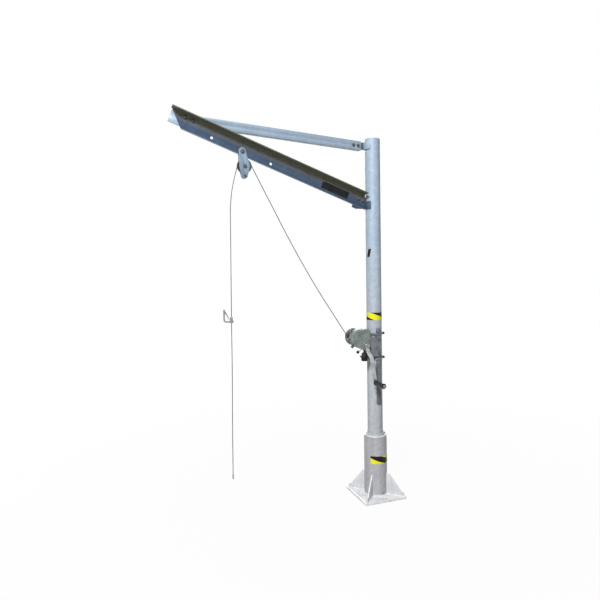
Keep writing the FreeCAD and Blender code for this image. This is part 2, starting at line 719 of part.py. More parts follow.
def rope_fall():
    places = [FALL_TOP] + FALL_BENDS + [(FALL_X, HOOK_TOP_Z)]
    return rope_along(route_edges([flat_point(p) for p in places]), "fall")


def rope_tail():
    low = TAIL_END_Z + END_SLEEVE_TALL
    return cyl_z(ROPE_R, low, HOOK_TOP_Z - HOOK_SLEEVE_TALL, FALL_X)


def rope_end_sleeve():
    sleeve = cyl_z(END_SLEEVE_R, TAIL_END_Z, TAIL_END_Z + END_SLEEVE_TALL, FALL_X)
    return round_rims(sleeve, ROPE_R / 2, lambda e: True)


def wound_point(turn):
    """A place on the wound rope and the way that it runs there."""
    angle = WOUND_START + turn
    rise = WOUND_PITCH / (2 * math.pi)
    place = V(DRUM_X + DRUM_PITCH_R * math.cos(angle), rise * turn, DRUM_Z + DRUM_PITCH_R * math.sin(angle))
    return place, V(-DRUM_PITCH_R * math.sin(angle), rise, DRUM_PITCH_R * math.cos(angle)).normalize()


WOUND_START = math.atan2(LEAD_END[1] - DRUM_Z, LEAD_END[0] - DRUM_X)


def biarc(p0, t0, p1, t1):
    """Two arcs that meet smoothly between two places and their directions."""
    v = p1 - p0
    t = t0 + t1
    slack = 2 * (1 - t0.dot(t1))
    reach = (math.sqrt(v.dot(t) ** 2 + slack * v.dot(v)) - v.dot(t)) / slack
    q0 = p0 + t0 * reach
    q1 = p1 - t1 * reach
    middle = (q0 + q1) * 0.5
    return [arc_between(p0, q0, middle), arc_between(middle, q1, p1)]


def rope_wound():
    """The outer layer on the drum: one unbroken tube of quarter-turn biarcs."""
    steps = [wound_point(2 * math.pi * i / QUARTERS) for i in range(WOUND_TURNS * QUARTERS + 1)]
    first, way = steps[0]
    edges = [straight(first - way * (2 * ROPE_R), first)]
    for (p0, t0), (p1, t1) in zip(steps, steps[1:]):
        edges += biarc(p0, t0, p1, t1)
    last, way = steps[-1]
    edges.append(straight(last, last + way * (2 * ROPE_R)))
    apart = min((a - b).Length for i, (a, _) in enumerate(steps) for b, _ in steps[i + QUARTERS:])
    print("wound rope least gap", round(apart - 2 * ROPE_R, 3))
    return rope_along(edges, "wound")


# Hook

HOOK_BASE_Z = HOOK_TOP_Z - HOOK_BASE_DROP
NOSE_X = FALL_X - HOOK_REACH
NOSE_Z = HOOK_TOP_Z + HOOK_NOSE_RISE


def hook_sleeve():
    sleeve = cyl_z(HOOK_SLEEVE_R, HOOK_TOP_Z - HOOK_SLEEVE_TALL, HOOK_TOP_Z, FALL_X)
    return round_rims(sleeve, ROPE_R, lambda e: True)


def hook():
    """A round bar that leaves a ring on the sleeve, runs out and turns up to a flat nose."""
    corner = V(NOSE_X, 0, HOOK_BASE_Z)
    start = V(FALL_X - HOOK_SLEEVE_R - RUNNING_FIT, 0, HOOK_BASE_Z)
    into = corner + V(HOOK_BEND_R, 0, 0)
    out_of = corner + V(0, 0, HOOK_BEND_R)
    nose = V(NOSE_X, 0, NOSE_Z)
    path = Part.Wire([straight(start, into), arc_between(into, corner, out_of), straight(out_of, nose)])
    bar = path.makePipeShell([Part.Wire(Part.makeCircle(HOOK_BAR_R, start, V(-1, 0, 0)))], True, False)
    bar = bar.fuse(cyl_y(HOOK_BAR_R, -NOSE_LUG_THICK / 2, NOSE_LUG_THICK / 2, NOSE_X, NOSE_Z))
    low = HOOK_BASE_Z - HOOK_RING_TALL / 2
    high = HOOK_BASE_Z + HOOK_RING_TALL / 2
    bar = bar.fuse(cyl_z(HOOK_SLEEVE_R + HOOK_RING_WALL, low, high, FALL_X))
    bar = bar.cut(cyl_z(HOOK_SLEEVE_R + RUNNING_FIT, low - OVERRUN, high + OVERRUN, FALL_X))
    past = HOOK_BAR_R + OVERRUN
    flat_low = NOSE_Z - NOSE_FLAT_LONG
    for y0, y1 in [(NOSE_LUG_THICK / 2, past), (-past, -NOSE_LUG_THICK / 2)]:
        bar = bar.cut(box(NOSE_X - past, NOSE_X + past, y0, y1, flat_low, NOSE_Z + past))
    return drill_y(bar, [(NOSE_X, NOSE_Z)], LATCH_PIN_R + RUNNING_FIT, -HOOK_BAR_R, HOOK_BAR_R)


LATCH_IN_Y = NOSE_LUG_THICK / 2 + SEAT_GAP
LATCH_OUT_Y = LATCH_IN_Y + LATCH_WALL
LATCH_END_X = FALL_X - HOOK_SLEEVE_R - HOOK_RING_WALL - LATCH_DEPTH / 4
LATCH_END_Z = HOOK_BASE_Z + HOOK_RING_TALL / 2 + LATCH_DEPTH


def latch():
    """Two side strips from the nose pin to the ring, joined by a bridge at the free end."""
    end_r = LATCH_DEPTH / 4
    strips = []
    for y0, y1 in [(LATCH_IN_Y, LATCH_OUT_Y), (-LATCH_OUT_Y, -LATCH_IN_Y)]:
        strip = hull_of_circles(NOSE_X, NOSE_Z, LATCH_DEPTH / 2, LATCH_END_X, LATCH_END_Z, end_r, y0, y1)
        strips.append(drill_y(strip, [(NOSE_X, NOSE_Z)], LATCH_PIN_R + RUNNING_FIT, y0, y1))
    along = math.atan2(LATCH_END_Z - NOSE_Z, LATCH_END_X - NOSE_X) + math.pi
    bridge_x, bridge_z = polar(LATCH_END_X, LATCH_END_Z, LATCH_BRIDGE, along)
    bridge = hull_of_circles(bridge_x, bridge_z, end_r, LATCH_END_X, LATCH_END_Z, end_r - RUNNING_FIT,
                             -LATCH_OUT_Y, LATCH_OUT_Y)
    return bridge.fuse(strips).removeSplitter()


def latch_pin():
    return cyl_y(LATCH_PIN_R, -LATCH_OUT_Y - LATCH_WALL, LATCH_OUT_Y + LATCH_WALL, NOSE_X, NOSE_Z)


# Winch mounting


def mounting_bar():
    half = BAR_WIDE / 2
    bar = box(-half, half, BAR_FRONT_Y, BAR_Y, BAR_END_Z, BAR_TOP_Z)
    return drill_y(bar, [(0, z) for z in BRACKET_BOLT_ZS], MOUNT_BOLT_R + RUNNING_FIT, BAR_FRONT_Y, BAR_Y)


BRACKET_BOLT_ZS = [BRACKET_LOW_Z + MOUNT_BOLT_INSET, BRACKET_HIGH_Z - MOUNT_BOLT_INSET]
FRAME_BOLT_ZS = [FRAME_LOW_Z + MOUNT_BOLT_INSET, BRACKET_HIGH_Z - MOUNT_BOLT_INSET]
FRAME_BOLT_YS = [NEAR_IN_Y + MOUNT_BOLT_INSET, FAR_IN_Y - MOUNT_BOLT_INSET]
BRACKET_FRONT_Y = BAR_FRONT_Y - BRACKET_THICK
FRAME_FRONT_X = FRAME_BACK_X - FRAME_WALL


def frame_bolt_rods(radius, x0, x1):
    places = [V(x0, y, z) for y in FRAME_BOLT_YS for z in FRAME_BOLT_ZS]
    return [Part.makeCylinder(radius, x1 - x0, place, V(1, 0, 0)) for place in places]


def winch_bracket():
    """An angle: one leg on the bar, the other past the mast's jib side."""
    leg = box(FRAME_BACK_X, BAR_WIDE / 2, BRACKET_FRONT_Y, BAR_FRONT_Y, BRACKET_LOW_Z, BRACKET_HIGH_Z)
    wing = box(FRAME_BACK_X, BRACKET_X, BRACKET_FRONT_Y, FAR_OUT_Y, BRACKET_LOW_Z, BRACKET_HIGH_Z)
    angle = leg.fuse(wing).removeSplitter()
    hole_r = MOUNT_BOLT_R + RUNNING_FIT
    angle = drill_y(angle, [(0, z) for z in BRACKET_BOLT_ZS], hole_r, BRACKET_FRONT_Y, BAR_FRONT_Y)
    return angle.cut(frame_bolt_rods(hole_r, FRAME_BACK_X - OVERRUN, BRACKET_X + OVERRUN))


def mount_bolts():
    """Cap screws: two into the bar, four through the winch frame into the bracket."""
    screws = []
    for z in BRACKET_BOLT_ZS:
        head = cyl_y(MOUNT_HEAD_R, BRACKET_FRONT_Y - MOUNT_HEAD_TALL, BRACKET_FRONT_Y, 0, z)
        screws.append(head.fuse(cyl_y(MOUNT_BOLT_R, BRACKET_FRONT_Y, BAR_Y, 0, z)))
    heads = frame_bolt_rods(MOUNT_HEAD_R, FRAME_FRONT_X - MOUNT_HEAD_TALL, FRAME_FRONT_X)
    shanks = frame_bolt_rods(MOUNT_BOLT_R, FRAME_FRONT_X, BRACKET_X)
    screws += [head.fuse(shank) for head, shank in zip(heads, shanks)]
    return Part.makeCompound(screws)


def band_loop(grow, z0, z1):
    """The belt round the mast and the bar, grown outwards."""
    mast_r = MAST_R + SEAT_GAP + grow
    corner_r = BAND_CORNER_R + grow
    x = BAR_WIDE / 2 + SEAT_GAP - BAND_CORNER_R
    y = BAR_FRONT_Y - SEAT_GAP + BAND_CORNER_R
    sides = [hull_of_circles(0, 0, mast_r, side * x, y, corner_r, -z1, -z0) for side in (1, -1)]
    front = hull_of_circles(-x, y, corner_r, x, y, corner_r, -z1, -z0)
    middle = prism_y([(0, 0), (x, y), (-x, y)], -z1, -z0)
    loop = sides[0].fuse([sides[1], front, middle]).removeSplitter()
    loop.rotate(V(0, 0, 0), V(1, 0, 0), -90)
    return loop


def mast_bands():
    """Split straps with ears for a knob screw on the side away from the jib."""
    bands = []
    for middle in BAND_ZS:
        z0 = middle - BAND_TALL / 2
        z1 = middle + BAND_TALL / 2
        inner = MAST_R + SEAT_GAP
        ear_end = inner + BAND_EAR_LONG
        reach = BAND_SPLIT / 2 + BAND_EAR_THICK
        split = BAND_SPLIT / 2
        low = z0 - OVERRUN
        high = z1 + OVERRUN
        loop = band_loop(BAND_WALL, z0, z1).fuse(box(inner - BAND_WALL, ear_end, -reach, reach, z0, z1))
        loop = loop.cut([band_loop(0, low, high), box(0, ear_end + OVERRUN, -split, split, low, high)])
        bands.append(drill_y(loop, [(BAND_SCREW_X, middle)], BAND_SCREW_R + RUNNING_FIT, -reach, reach))
    return Part.makeCompound(bands)


def band_screws():
    screws = []
    reach = BAND_SPLIT / 2 + BAND_EAR_THICK
    for z in BAND_ZS:
        knob = cyl_y(BAND_KNOB_R, -reach - BAND_KNOB_TALL, -reach, BAND_SCREW_X, z)
        screws.append(knob.fuse(cyl_y(BAND_SCREW_R, -reach, reach + BAND_SCREW_R, BAND_SCREW_X, z)))
    return Part.makeCompound(screws)


# Winch

DRUM_BUSH_R = DRUM_SHAFT_R + RUNNING_FIT + WINCH_BUSH_WALL
PINION_BUSH_R = PINION_SHAFT_R + RUNNING_FIT + WINCH_BUSH_WALL
COVER_EAR_TURNS = [math.radians(t) for t in COVER_SCREW_ANGLES_DEG]
COVER_EARS = [polar(DRUM_X, DRUM_Z, COVER_DRUM_R + COVER_EAR_OUT, t) for t in COVER_EAR_TURNS]
COVER_CORNER_X = PINION_X + COVER_PINION_R - COVER_CORNER_R
COVER_CORNER_Z = DRUM_Z + COVER_DRUM_R - COVER_CORNER_R
PAWL_X, PAWL_Z = polar(PINION_X, PINION_Z, PAWL_REACH, math.radians(PAWL_TURN_DEG))
PINION_END_Y = GEAR_Y - GEAR_WIDE - PINION_OVERHANG
DISC_Y = PINION_END_Y - PINION_OVERHANG
RATCHET_Y = DISC_Y - BRAKE_DISC_THICK


def gear_pair(drum_r, pinion_r, y0, y1):
    return hull_of_circles(DRUM_X, DRUM_Z, drum_r, PINION_X, PINION_Z, pinion_r, y0, y1)


def cover_form(inset, y0, y1):
    """The belt round the drum, the pinion and the square upper corner, drawn in by the inset."""
    drum = (DRUM_X, DRUM_Z, COVER_DRUM_R - inset)
    pinion = (PINION_X, PINION_Z, COVER_PINION_R - inset)
    corner = (COVER_CORNER_X, COVER_CORNER_Z, COVER_CORNER_R - inset)
    middle = prism_y([ring[:2] for ring in (drum, pinion, corner)], y0, y1)
    sides = [hull_of_circles(*one, *two, y0, y1) for one, two in ((pinion, corner), (corner, drum))]
    return hull_of_circles(*drum, *pinion, y0, y1).fuse(sides + [middle]).removeSplitter()


def near_plate():
    y0, y1 = FRAME_NEAR_Y, NEAR_IN_Y
    plate = cover_form(0, y0, y1)
    plate = plate.fuse([cyl_y(COVER_EAR_R, y0, y1, x, z) for x, z in COVER_EARS])
    plate = plate.fuse(box(PINION_X, FRAME_BACK_X, y0, y1, FRAME_LOW_Z, FRAME_HIGH_Z))
    plate = drill_y(plate, COVER_EARS, COVER_SCREW_R + RUNNING_FIT, y0, y1)
    return drill_y(plate, [(PAWL_X, PAWL_Z)], PAWL_PIN_R + RUNNING_FIT, y0, y1)


def far_plate():
    y0, y1 = FAR_IN_Y, FAR_OUT_Y
    outline = [(DRUM_X, DRUM_Z + FRAME_DRUM_R), (FRAME_BACK_X, FRAME_HIGH_Z), (FRAME_BACK_X, FRAME_LOW_Z)]
    web = prism_y(outline + [(PINION_X, PINION_Z - FRAME_PINION_R)], y0, y1)
    return gear_pair(FRAME_DRUM_R, FRAME_PINION_R, y0, y1).fuse(web)


def winch_frame():
    """A folded channel: a back plate on the bracket and two side plates that carry the shafts."""
    back = box(FRAME_FRONT_X, FRAME_BACK_X, FRAME_NEAR_Y, FAR_OUT_Y, FRAME_LOW_Z, FRAME_HIGH_Z)
    frame = back.fuse([near_plate(), far_plate()]).removeSplitter()
    hole_r = MOUNT_BOLT_R + RUNNING_FIT
    frame = frame.cut(frame_bolt_rods(hole_r, FRAME_FRONT_X - OVERRUN, FRAME_BACK_X + OVERRUN))
    frame = drill_y(frame, [(DRUM_X, DRUM_Z)], DRUM_BUSH_R, FRAME_NEAR_Y, FAR_OUT_Y)
    return drill_y(frame, [(PINION_X, PINION_Z)], PINION_BUSH_R, FRAME_NEAR_Y, FAR_OUT_Y)


def winch_bushes():
    walls = [(FRAME_NEAR_Y, NEAR_IN_Y), (FAR_IN_Y, FAR_OUT_Y)]
    shafts = [(DRUM_BUSH_R, DRUM_SHAFT_R, DRUM_X, DRUM_Z)]
    shafts += [(PINION_BUSH_R, PINION_SHAFT_R, PINION_X, PINION_Z)]
    return Part.makeCompound([tube_y(outer, shaft_r + RUNNING_FIT, y0, y1, x, z)
                              for outer, shaft_r, x, z in shafts for y0, y1 in walls])


def drum_shaft():
    near = GEAR_Y - GEAR_WIDE - DRUM_SHAFT_PROUD
    return cyl_y(DRUM_SHAFT_R, near, FAR_OUT_Y + DRUM_SHAFT_PROUD, DRUM_X, DRUM_Z)


def rope_drum():
    """A hollow spool between two flanges."""
    near = NEAR_IN_Y + DRUM_SIDE_GAP
    far = FAR_IN_Y - DRUM_SIDE_GAP
    wall = DRUM_FLANGE_THICK
    barrel_r = DRUM_PITCH_R - ROPE_R - ROPE_SEAT
    spool = cyl_y(barrel_r, near, far, DRUM_X, DRUM_Z)
    sides = [cyl_y(DRUM_FLANGE_R, y, y + wall, DRUM_X, DRUM_Z) for y in (near, far - wall)]
    spool = spool.fuse(sides).removeSplitter()
    hollow = tube_y(barrel_r - wall, DRUM_SHAFT_R + wall, near + wall, far - wall, DRUM_X, DRUM_Z)
    return drill_y(spool.cut(hollow), [(DRUM_X, DRUM_Z)], DRUM_SHAFT_R + RUNNING_FIT, near, far)


def toothed_wheel(teeth, x, z, phase, y0, y1):
    """A spur wheel with straight-sided teeth, one of them centred on the phase."""
    pitch_r = GEAR_MODULE * teeth / 2
    root_r = pitch_r - GEAR_MODULE * TOOTH_DEDENDUM_SHARE
    tip_r = pitch_r + GEAR_MODULE * TOOTH_ADDENDUM_SHARE
    step = 2 * math.pi / teeth
    corners = []
    for i in range(teeth):
        middle = phase + step * i
        corners.append(polar(x, z, root_r, middle - step * TOOTH_ROOT_SHARE / 2))
        corners.append(polar(x, z, tip_r, middle - step * TOOTH_TIP_SHARE / 2))
        corners.append(polar(x, z, tip_r, middle + step * TOOTH_TIP_SHARE / 2))
        corners.append(polar(x, z, root_r, middle + step * TOOTH_ROOT_SHARE / 2))
    return prism_y(corners, y0, y1)


def drum_gear():
    y0, y1 = GEAR_Y - GEAR_WIDE, GEAR_Y
    wheel = toothed_wheel(GEAR_TEETH, DRUM_X, DRUM_Z, MESH_TURN + math.pi / GEAR_TEETH, y0, y1)
    rim_in = GEAR_PITCH_R - GEAR_MODULE * TOOTH_DEDENDUM_SHARE - GEAR_RIM_WALL
    wheel = wheel.cut(tube_y(rim_in, GEAR_HUB_R, y0 - OVERRUN, y1 - GEAR_WEB_THICK, DRUM_X, DRUM_Z))
    return drill_y(wheel, [(DRUM_X, DRUM_Z)], DRUM_SHAFT_R + RUNNING_FIT, y0, y1)


CRANK_FRONT_Y = CRANK_Y - CRANK_THICK
CRANK_SHAFT_END_Y = CRANK_FRONT_Y - CRANK_NUT_TALL - PINION_OVERHANG


def pinion_shaft():
    shaft = cyl_y(PINION_SHAFT_R, CRANK_SHAFT_END_Y, FAR_OUT_Y + DRUM_SHAFT_PROUD, PINION_X, PINION_Z)
    far = GEAR_Y + PINION_OVERHANG
    teeth = toothed_wheel(PINION_TEETH, PINION_X, PINION_Z, MESH_TURN + math.pi, PINION_END_Y, far)
    return shaft.fuse(teeth).removeSplitter()


def ratchet_wheel():
    y0, y1 = RATCHET_Y - RATCHET_THICK, RATCHET_Y
    step = 2 * math.pi / RATCHET_TEETH
    corners = []
    for i in range(RATCHET_TEETH):
        corners.append(polar(PINION_X, PINION_Z, RATCHET_R, step * i))
        corners.append(polar(PINION_X, PINION_Z, RATCHET_R - RATCHET_TOOTH_DEEP, step * i))
    wheel = prism_y(corners, y0, y1)
    return drill_y(wheel, [(PINION_X, PINION_Z)], PINION_SHAFT_R + RUNNING_FIT, y0, y1)


def brake_discs():
    bore = PINION_SHAFT_R + RUNNING_FIT
    discs = []
    for far in (DISC_Y, RATCHET_Y - RATCHET_THICK):
        discs.append(tube_y(BRAKE_DISC_R, bore, far - BRAKE_DISC_THICK, far, PINION_X, PINION_Z))
    return Part.makeCompound(discs)


def pawl():
    y0, y1 = RATCHET_Y - RATCHET_THICK, RATCHET_Y
    nose_r = PAWL_NOSE_WIDE / 2
    nose = polar(PINION_X, PINION_Z, RATCHET_R + SEAT_GAP + nose_r, math.radians(PAWL_NOSE_DEG))
    arm = hull_of_circles(PAWL_X, PAWL_Z, PAWL_EYE_R, nose[0], nose[1], nose_r, y0, y1)
    return drill_y(arm, [(PAWL_X, PAWL_Z)], PAWL_PIN_R + RUNNING_FIT, y0, y1)


LEVER_Y = COVER_Y - PAWL_LEVER_R - SEAT_GAP
LEVER_TURN = math.radians(PAWL_LEVER_TURN_DEG)
BALL_X, BALL_Z = polar(PAWL_X, PAWL_Z, PAWL_LEVER_LONG, LEVER_TURN)


def pawl_lever():
    """The pawl's pivot, from the frame out through the cover, with a rod on its outer end."""
    pin = cyl_y(PAWL_PIN_R, LEVER_Y - PAWL_PIN_R, NEAR_IN_Y, PAWL_X, PAWL_Z)
    way = V(math.cos(LEVER_TURN), 0, math.sin(LEVER_TURN))
    rod = Part.makeCylinder(PAWL_LEVER_R, PAWL_LEVER_LONG, V(PAWL_X, LEVER_Y, PAWL_Z), way)
    return pin.fuse(rod).removeSplitter()


def pawl_ball():
    way = V(math.cos(LEVER_TURN), 0, math.sin(LEVER_TURN))
    ball = Part.makeSphere(PAWL_BALL_R, V(BALL_X, LEVER_Y, BALL_Z), way)
    bore_long = PAWL_LEVER_LONG + SEAT_GAP
    start = V(PAWL_X, LEVER_Y, PAWL_Z)
    return ball.cut(Part.makeCylinder(PAWL_LEVER_R + SEAT_GAP, bore_long, start, way))


KNOB_SEAT_Z = PINION_Z - COVER_PINION_R
KNOB_NECK_Z = KNOB_SEAT_Z - KNOB_STEM_TALL


def gear_cover():
    """A pressed pan over the gears and the brake, with ears for its screws."""
    pan = cover_form(0, COVER_Y, FRAME_NEAR_Y)
    rim = [e for e in pan.Edges if abs(e.CenterOfMass.y - COVER_Y) < RUNNING_FIT]
    pan = pan.makeFillet(COVER_EDGE_R, rim)
    ear_y = FRAME_NEAR_Y - COVER_EAR_THICK
    boss_y = COVER_Y - COVER_BOSS_TALL
    floor_y = COVER_Y + COVER_WALL
    pan = pan.fuse([cyl_y(COVER_EAR_R, ear_y, FRAME_NEAR_Y, x, z) for x, z in COVER_EARS])
    bosses = [(DRUM_X, DRUM_Z), (PINION_X, PINION_Z)]
    pan = pan.fuse([cyl_y(COVER_BOSS_R, boss_y, floor_y, x, z) for x, z in bosses])
    pan = pan.removeSplitter().cut(cover_form(COVER_WALL, floor_y, FRAME_NEAR_Y + OVERRUN))
    pan = drill_y(pan, COVER_EARS, COVER_SCREW_R + RUNNING_FIT, COVER_Y, FRAME_NEAR_Y)
    pan = drill_y(pan, [(PINION_X, PINION_Z)], PINION_SHAFT_R + BOLT_FIT, boss_y, FRAME_NEAR_Y)
    pan = drill_y(pan, [(PAWL_X, PAWL_Z)], PAWL_PIN_R + BOLT_FIT, COVER_Y, FRAME_NEAR_Y)
    stem = cyl_z(KNOB_STEM_R + RUNNING_FIT, KNOB_NECK_Z, KNOB_SEAT_Z + KNOB_STEM_R, KNOB_X, KNOB_Y)
    return pan.cut(stem)


def cover_screws():
    screws = []
    seat = FRAME_NEAR_Y - COVER_EAR_THICK
    for x, z in COVER_EARS:
        head = cyl_y(COVER_SCREW_HEAD_R, seat - COVER_SCREW_HEAD_TALL, seat, x, z)
        screws.append(head.fuse(cyl_y(COVER_SCREW_R, seat, NEAR_IN_Y, x, z)))
    return Part.makeCompound(screws)


def freewheel_knob():
    """A turned knob with a wide disc, hanging from its stem under the cover."""
    disc_z = KNOB_NECK_Z - KNOB_NECK_TALL
    grip_z = disc_z - KNOB_DISC_TALL
    end_z = grip_z - KNOB_GRIP_TALL
    x, y = KNOB_X, KNOB_Y
    disc = round_rims(cyl_z(KNOB_DISC_R, grip_z, disc_z, x, y), KNOB_EDGE_R, lambda e: True)
    grip = cyl_z(KNOB_GRIP_R, end_z, grip_z, x, y)
    grip = round_rims(grip, KNOB_EDGE_R, lambda e: e.CenterOfMass.z < grip_z - KNOB_EDGE_R)
    neck = cyl_z(KNOB_NECK_R, disc_z, KNOB_NECK_Z, x, y)
    neck = round_rims(neck, KNOB_EDGE_R, lambda e: e.CenterOfMass.z > disc_z + KNOB_EDGE_R)
    stem = cyl_z(KNOB_STEM_R, KNOB_NECK_Z, KNOB_SEAT_Z + KNOB_STEM_IN, x, y)
    return disc.fuse([grip, neck, stem]).removeSplitter()


# Crank

CRANK_LOW_FRONT_Y = CRANK_FRONT_Y - CRANK_STEP_OUT
CRANK_LOW_Y = CRANK_Y - CRANK_STEP_OUT
CRANK_LEAN = math.radians(CRANK_LEAN_DEG)
GRIP_X, GRIP_Z = polar(PINION_X, PINION_Z, CRANK_THROW, CRANK_LEAN - math.pi / 2)
GRIP_Y = CRANK_LOW_FRONT_Y - SEAT_GAP


def crank_arm():
    """A flat bar that steps out from the shaft to clear the hand."""
    steps = [(CRANK_Y, 0), (CRANK_Y, CRANK_STEP_FROM), (CRANK_LOW_Y, CRANK_STEP_TO)]
    steps += [(CRANK_LOW_Y, CRANK_THROW), (CRANK_LOW_FRONT_Y, CRANK_THROW)]
    steps += [(CRANK_LOW_FRONT_Y, CRANK_STEP_TO), (CRANK_FRONT_Y, CRANK_STEP_FROM), (CRANK_FRONT_Y, 0)]
    corners = [V(PINION_X - CRANK_WIDE / 2, y, PINION_Z - down) for y, down in steps]
    arm = Part.Face(Part.makePolygon(corners + corners[:1])).extrude(V(CRANK_WIDE, 0, 0))
    ends = [cyl_y(CRANK_WIDE / 2, CRANK_FRONT_Y, CRANK_Y, PINION_X, PINION_Z),
            cyl_y(CRANK_WIDE / 2, CRANK_LOW_FRONT_Y, CRANK_LOW_Y, PINION_X, PINION_Z - CRANK_THROW)]
    arm = arm.fuse(ends).removeSplitter()
    arm.rotate(V(PINION_X, 0, PINION_Z), V(0, 1, 0), -CRANK_LEAN_DEG)
    arm = drill_y(arm, [(PINION_X, PINION_Z)], PINION_SHAFT_R + RUNNING_FIT, CRANK_FRONT_Y, CRANK_Y)
    return drill_y(arm, [(GRIP_X, GRIP_Z)], GRIP_PIN_R + RUNNING_FIT, CRANK_LOW_FRONT_Y, CRANK_LOW_Y)


def crank_nut():
    y0 = CRANK_FRONT_Y - CRANK_NUT_TALL
    nut = hex_y(CRANK_NUT_FLATS, y0, CRANK_FRONT_Y, PINION_X, PINION_Z)
    return drill_y(nut, [(PINION_X, PINION_Z)], PINION_SHAFT_R + RUNNING_FIT, y0, CRANK_FRONT_Y)


def grip_pin():
    end = GRIP_Y - GRIP_LONG - SEAT_GAP
    pin = cyl_y(GRIP_PIN_R, end, CRANK_LOW_Y, GRIP_X, GRIP_Z)
    return pin.fuse(cyl_y(GRIP_HEAD_R, end - GRIP_HEAD_TALL, end, GRIP_X, GRIP_Z)).removeSplitter()


def crank_grip():
    """A handle with a rounded stop at each end."""
    near = GRIP_Y - GRIP_LONG
    handle = cyl_y(GRIP_R, near, GRIP_Y, GRIP_X, GRIP_Z)
    for y in (near, GRIP_Y - GRIP_END_LONG):
        stop = cyl_y(GRIP_END_R, y, y + GRIP_END_LONG, GRIP_X, GRIP_Z)
        handle = handle.fuse(round_rims(stop, GRIP_EDGE_R, lambda e: True))
    handle = handle.removeSplitter()
    return drill_y(handle, [(GRIP_X, GRIP_Z)], GRIP_PIN_R + RUNNING_FIT, near, GRIP_Y)


PARTS = {
    "base_plate": base_plate(),
    "gussets": gussets(),
    "socket_tube": socket_tube(),
    "lower_bush": lower_bush(),
    "upper_bush": upper_bush(),
    "thrust_pad": thrust_pad(),
    "mast_tube": mast_tube(),
    "mast_cap": mast_cap(),
    "thrust_collar": thrust_collar(),
    "collar_screw": collar_screw(),
    "jib_beam": jib_beam(),
    "tie_bar": tie_bar(),
    "tip_cleat": tip_cleat(),
    "jib_bracket": jib_bracket(),
    "tie_bracket": tie_bracket(),
    "frame_bolts": frame_bolts(),
    "frame_nuts": frame_nuts(),
    "near_cheek": cheek(-CHEEK_OUT_Y, -CHEEK_IN_Y),
    "far_cheek": cheek(CHEEK_IN_Y, CHEEK_OUT_Y),
    "hanger_bolt": cross_pin(HANGER_R, BLOCK_X, BLOCK_Z),
    "hanger_spacers": hanger_spacers(),
    "sheave_pin": cross_pin(BLOCK_PIN_R, SHEAVE_X, SHEAVE_Z),
    "sheave_bush": sheave_bush(),
    "sheave": sheave(),
    "guard_pin": cross_pin(GUARD_PIN_R, SHEAVE_X, GUARD_Z),
    "guard_spacer": guard_spacer(),
    "rope_lead": rope_lead(),
    "rope_fall": rope_fall(),
    "rope_tail": rope_tail(),
    "rope_wound": rope_wound(),
    "rope_end_sleeve": rope_end_sleeve(),
    "hook_sleeve": hook_sleeve(),
    "hook": hook(),
    "latch": latch(),
    "latch_pin": latch_pin(),
    "mounting_bar": mounting_bar(),
    "winch_bracket": winch_bracket(),
    "mount_bolts": mount_bolts(),
    "mast_bands": mast_bands(),
    "band_screws": band_screws(),
    "winch_frame": winch_frame(),
    "winch_bushes": winch_bushes(),
    "drum_shaft": drum_shaft(),
    "rope_drum": rope_drum(),
    "drum_gear": drum_gear(),
    "pinion_shaft": pinion_shaft(),
    "ratchet_wheel": ratchet_wheel(),
    "brake_discs": brake_discs(),
    "pawl": pawl(),
    "pawl_lever": pawl_lever(),
    "pawl_ball": pawl_ball(),
    "gear_cover": gear_cover(),
    "cover_screws": cover_screws(),
    "freewheel_knob": freewheel_knob(),
    "crank_arm": crank_arm(),
    "crank_nut": crank_nut(),
    "grip_pin": grip_pin(),
    "crank_grip": crank_grip(),
}

for name, shape in PARTS.items():
    shape.exportStep("parts/" + name + ".step")
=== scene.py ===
"""Looks of the davit crane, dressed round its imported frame. Metres, +Z up, the jib along -X."""

import json
import math

import bmesh
import bpy
from mathutils import Matrix, Vector


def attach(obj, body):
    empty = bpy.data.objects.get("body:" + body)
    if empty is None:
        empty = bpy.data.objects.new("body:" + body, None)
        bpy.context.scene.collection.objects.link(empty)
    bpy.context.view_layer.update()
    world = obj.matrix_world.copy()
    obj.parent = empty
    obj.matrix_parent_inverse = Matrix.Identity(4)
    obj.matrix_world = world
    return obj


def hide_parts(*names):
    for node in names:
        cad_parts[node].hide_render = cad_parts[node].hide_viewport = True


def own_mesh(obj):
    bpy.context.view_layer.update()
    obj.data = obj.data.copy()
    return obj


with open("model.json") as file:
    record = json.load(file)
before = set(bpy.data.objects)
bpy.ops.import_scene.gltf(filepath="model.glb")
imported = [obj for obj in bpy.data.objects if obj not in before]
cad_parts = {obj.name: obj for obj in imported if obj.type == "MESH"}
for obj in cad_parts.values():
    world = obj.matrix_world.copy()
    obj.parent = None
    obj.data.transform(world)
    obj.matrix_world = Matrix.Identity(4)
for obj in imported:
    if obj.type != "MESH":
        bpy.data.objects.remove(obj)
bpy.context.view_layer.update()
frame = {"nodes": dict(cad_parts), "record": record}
nodes = frame["nodes"]
scene = bpy.context.scene
scene.view_settings.view_transform = "Standard"

NODE_SLOTS = {row["node"]: row["material_slot"] for row in frame["record"]["subparts"]}
NODE_BODY = {
    node: body
    for body, members in frame["record"]["behaviour"]["bodies"].items()
    for node in members
}


# Sizes and rope routes repeated from the construction

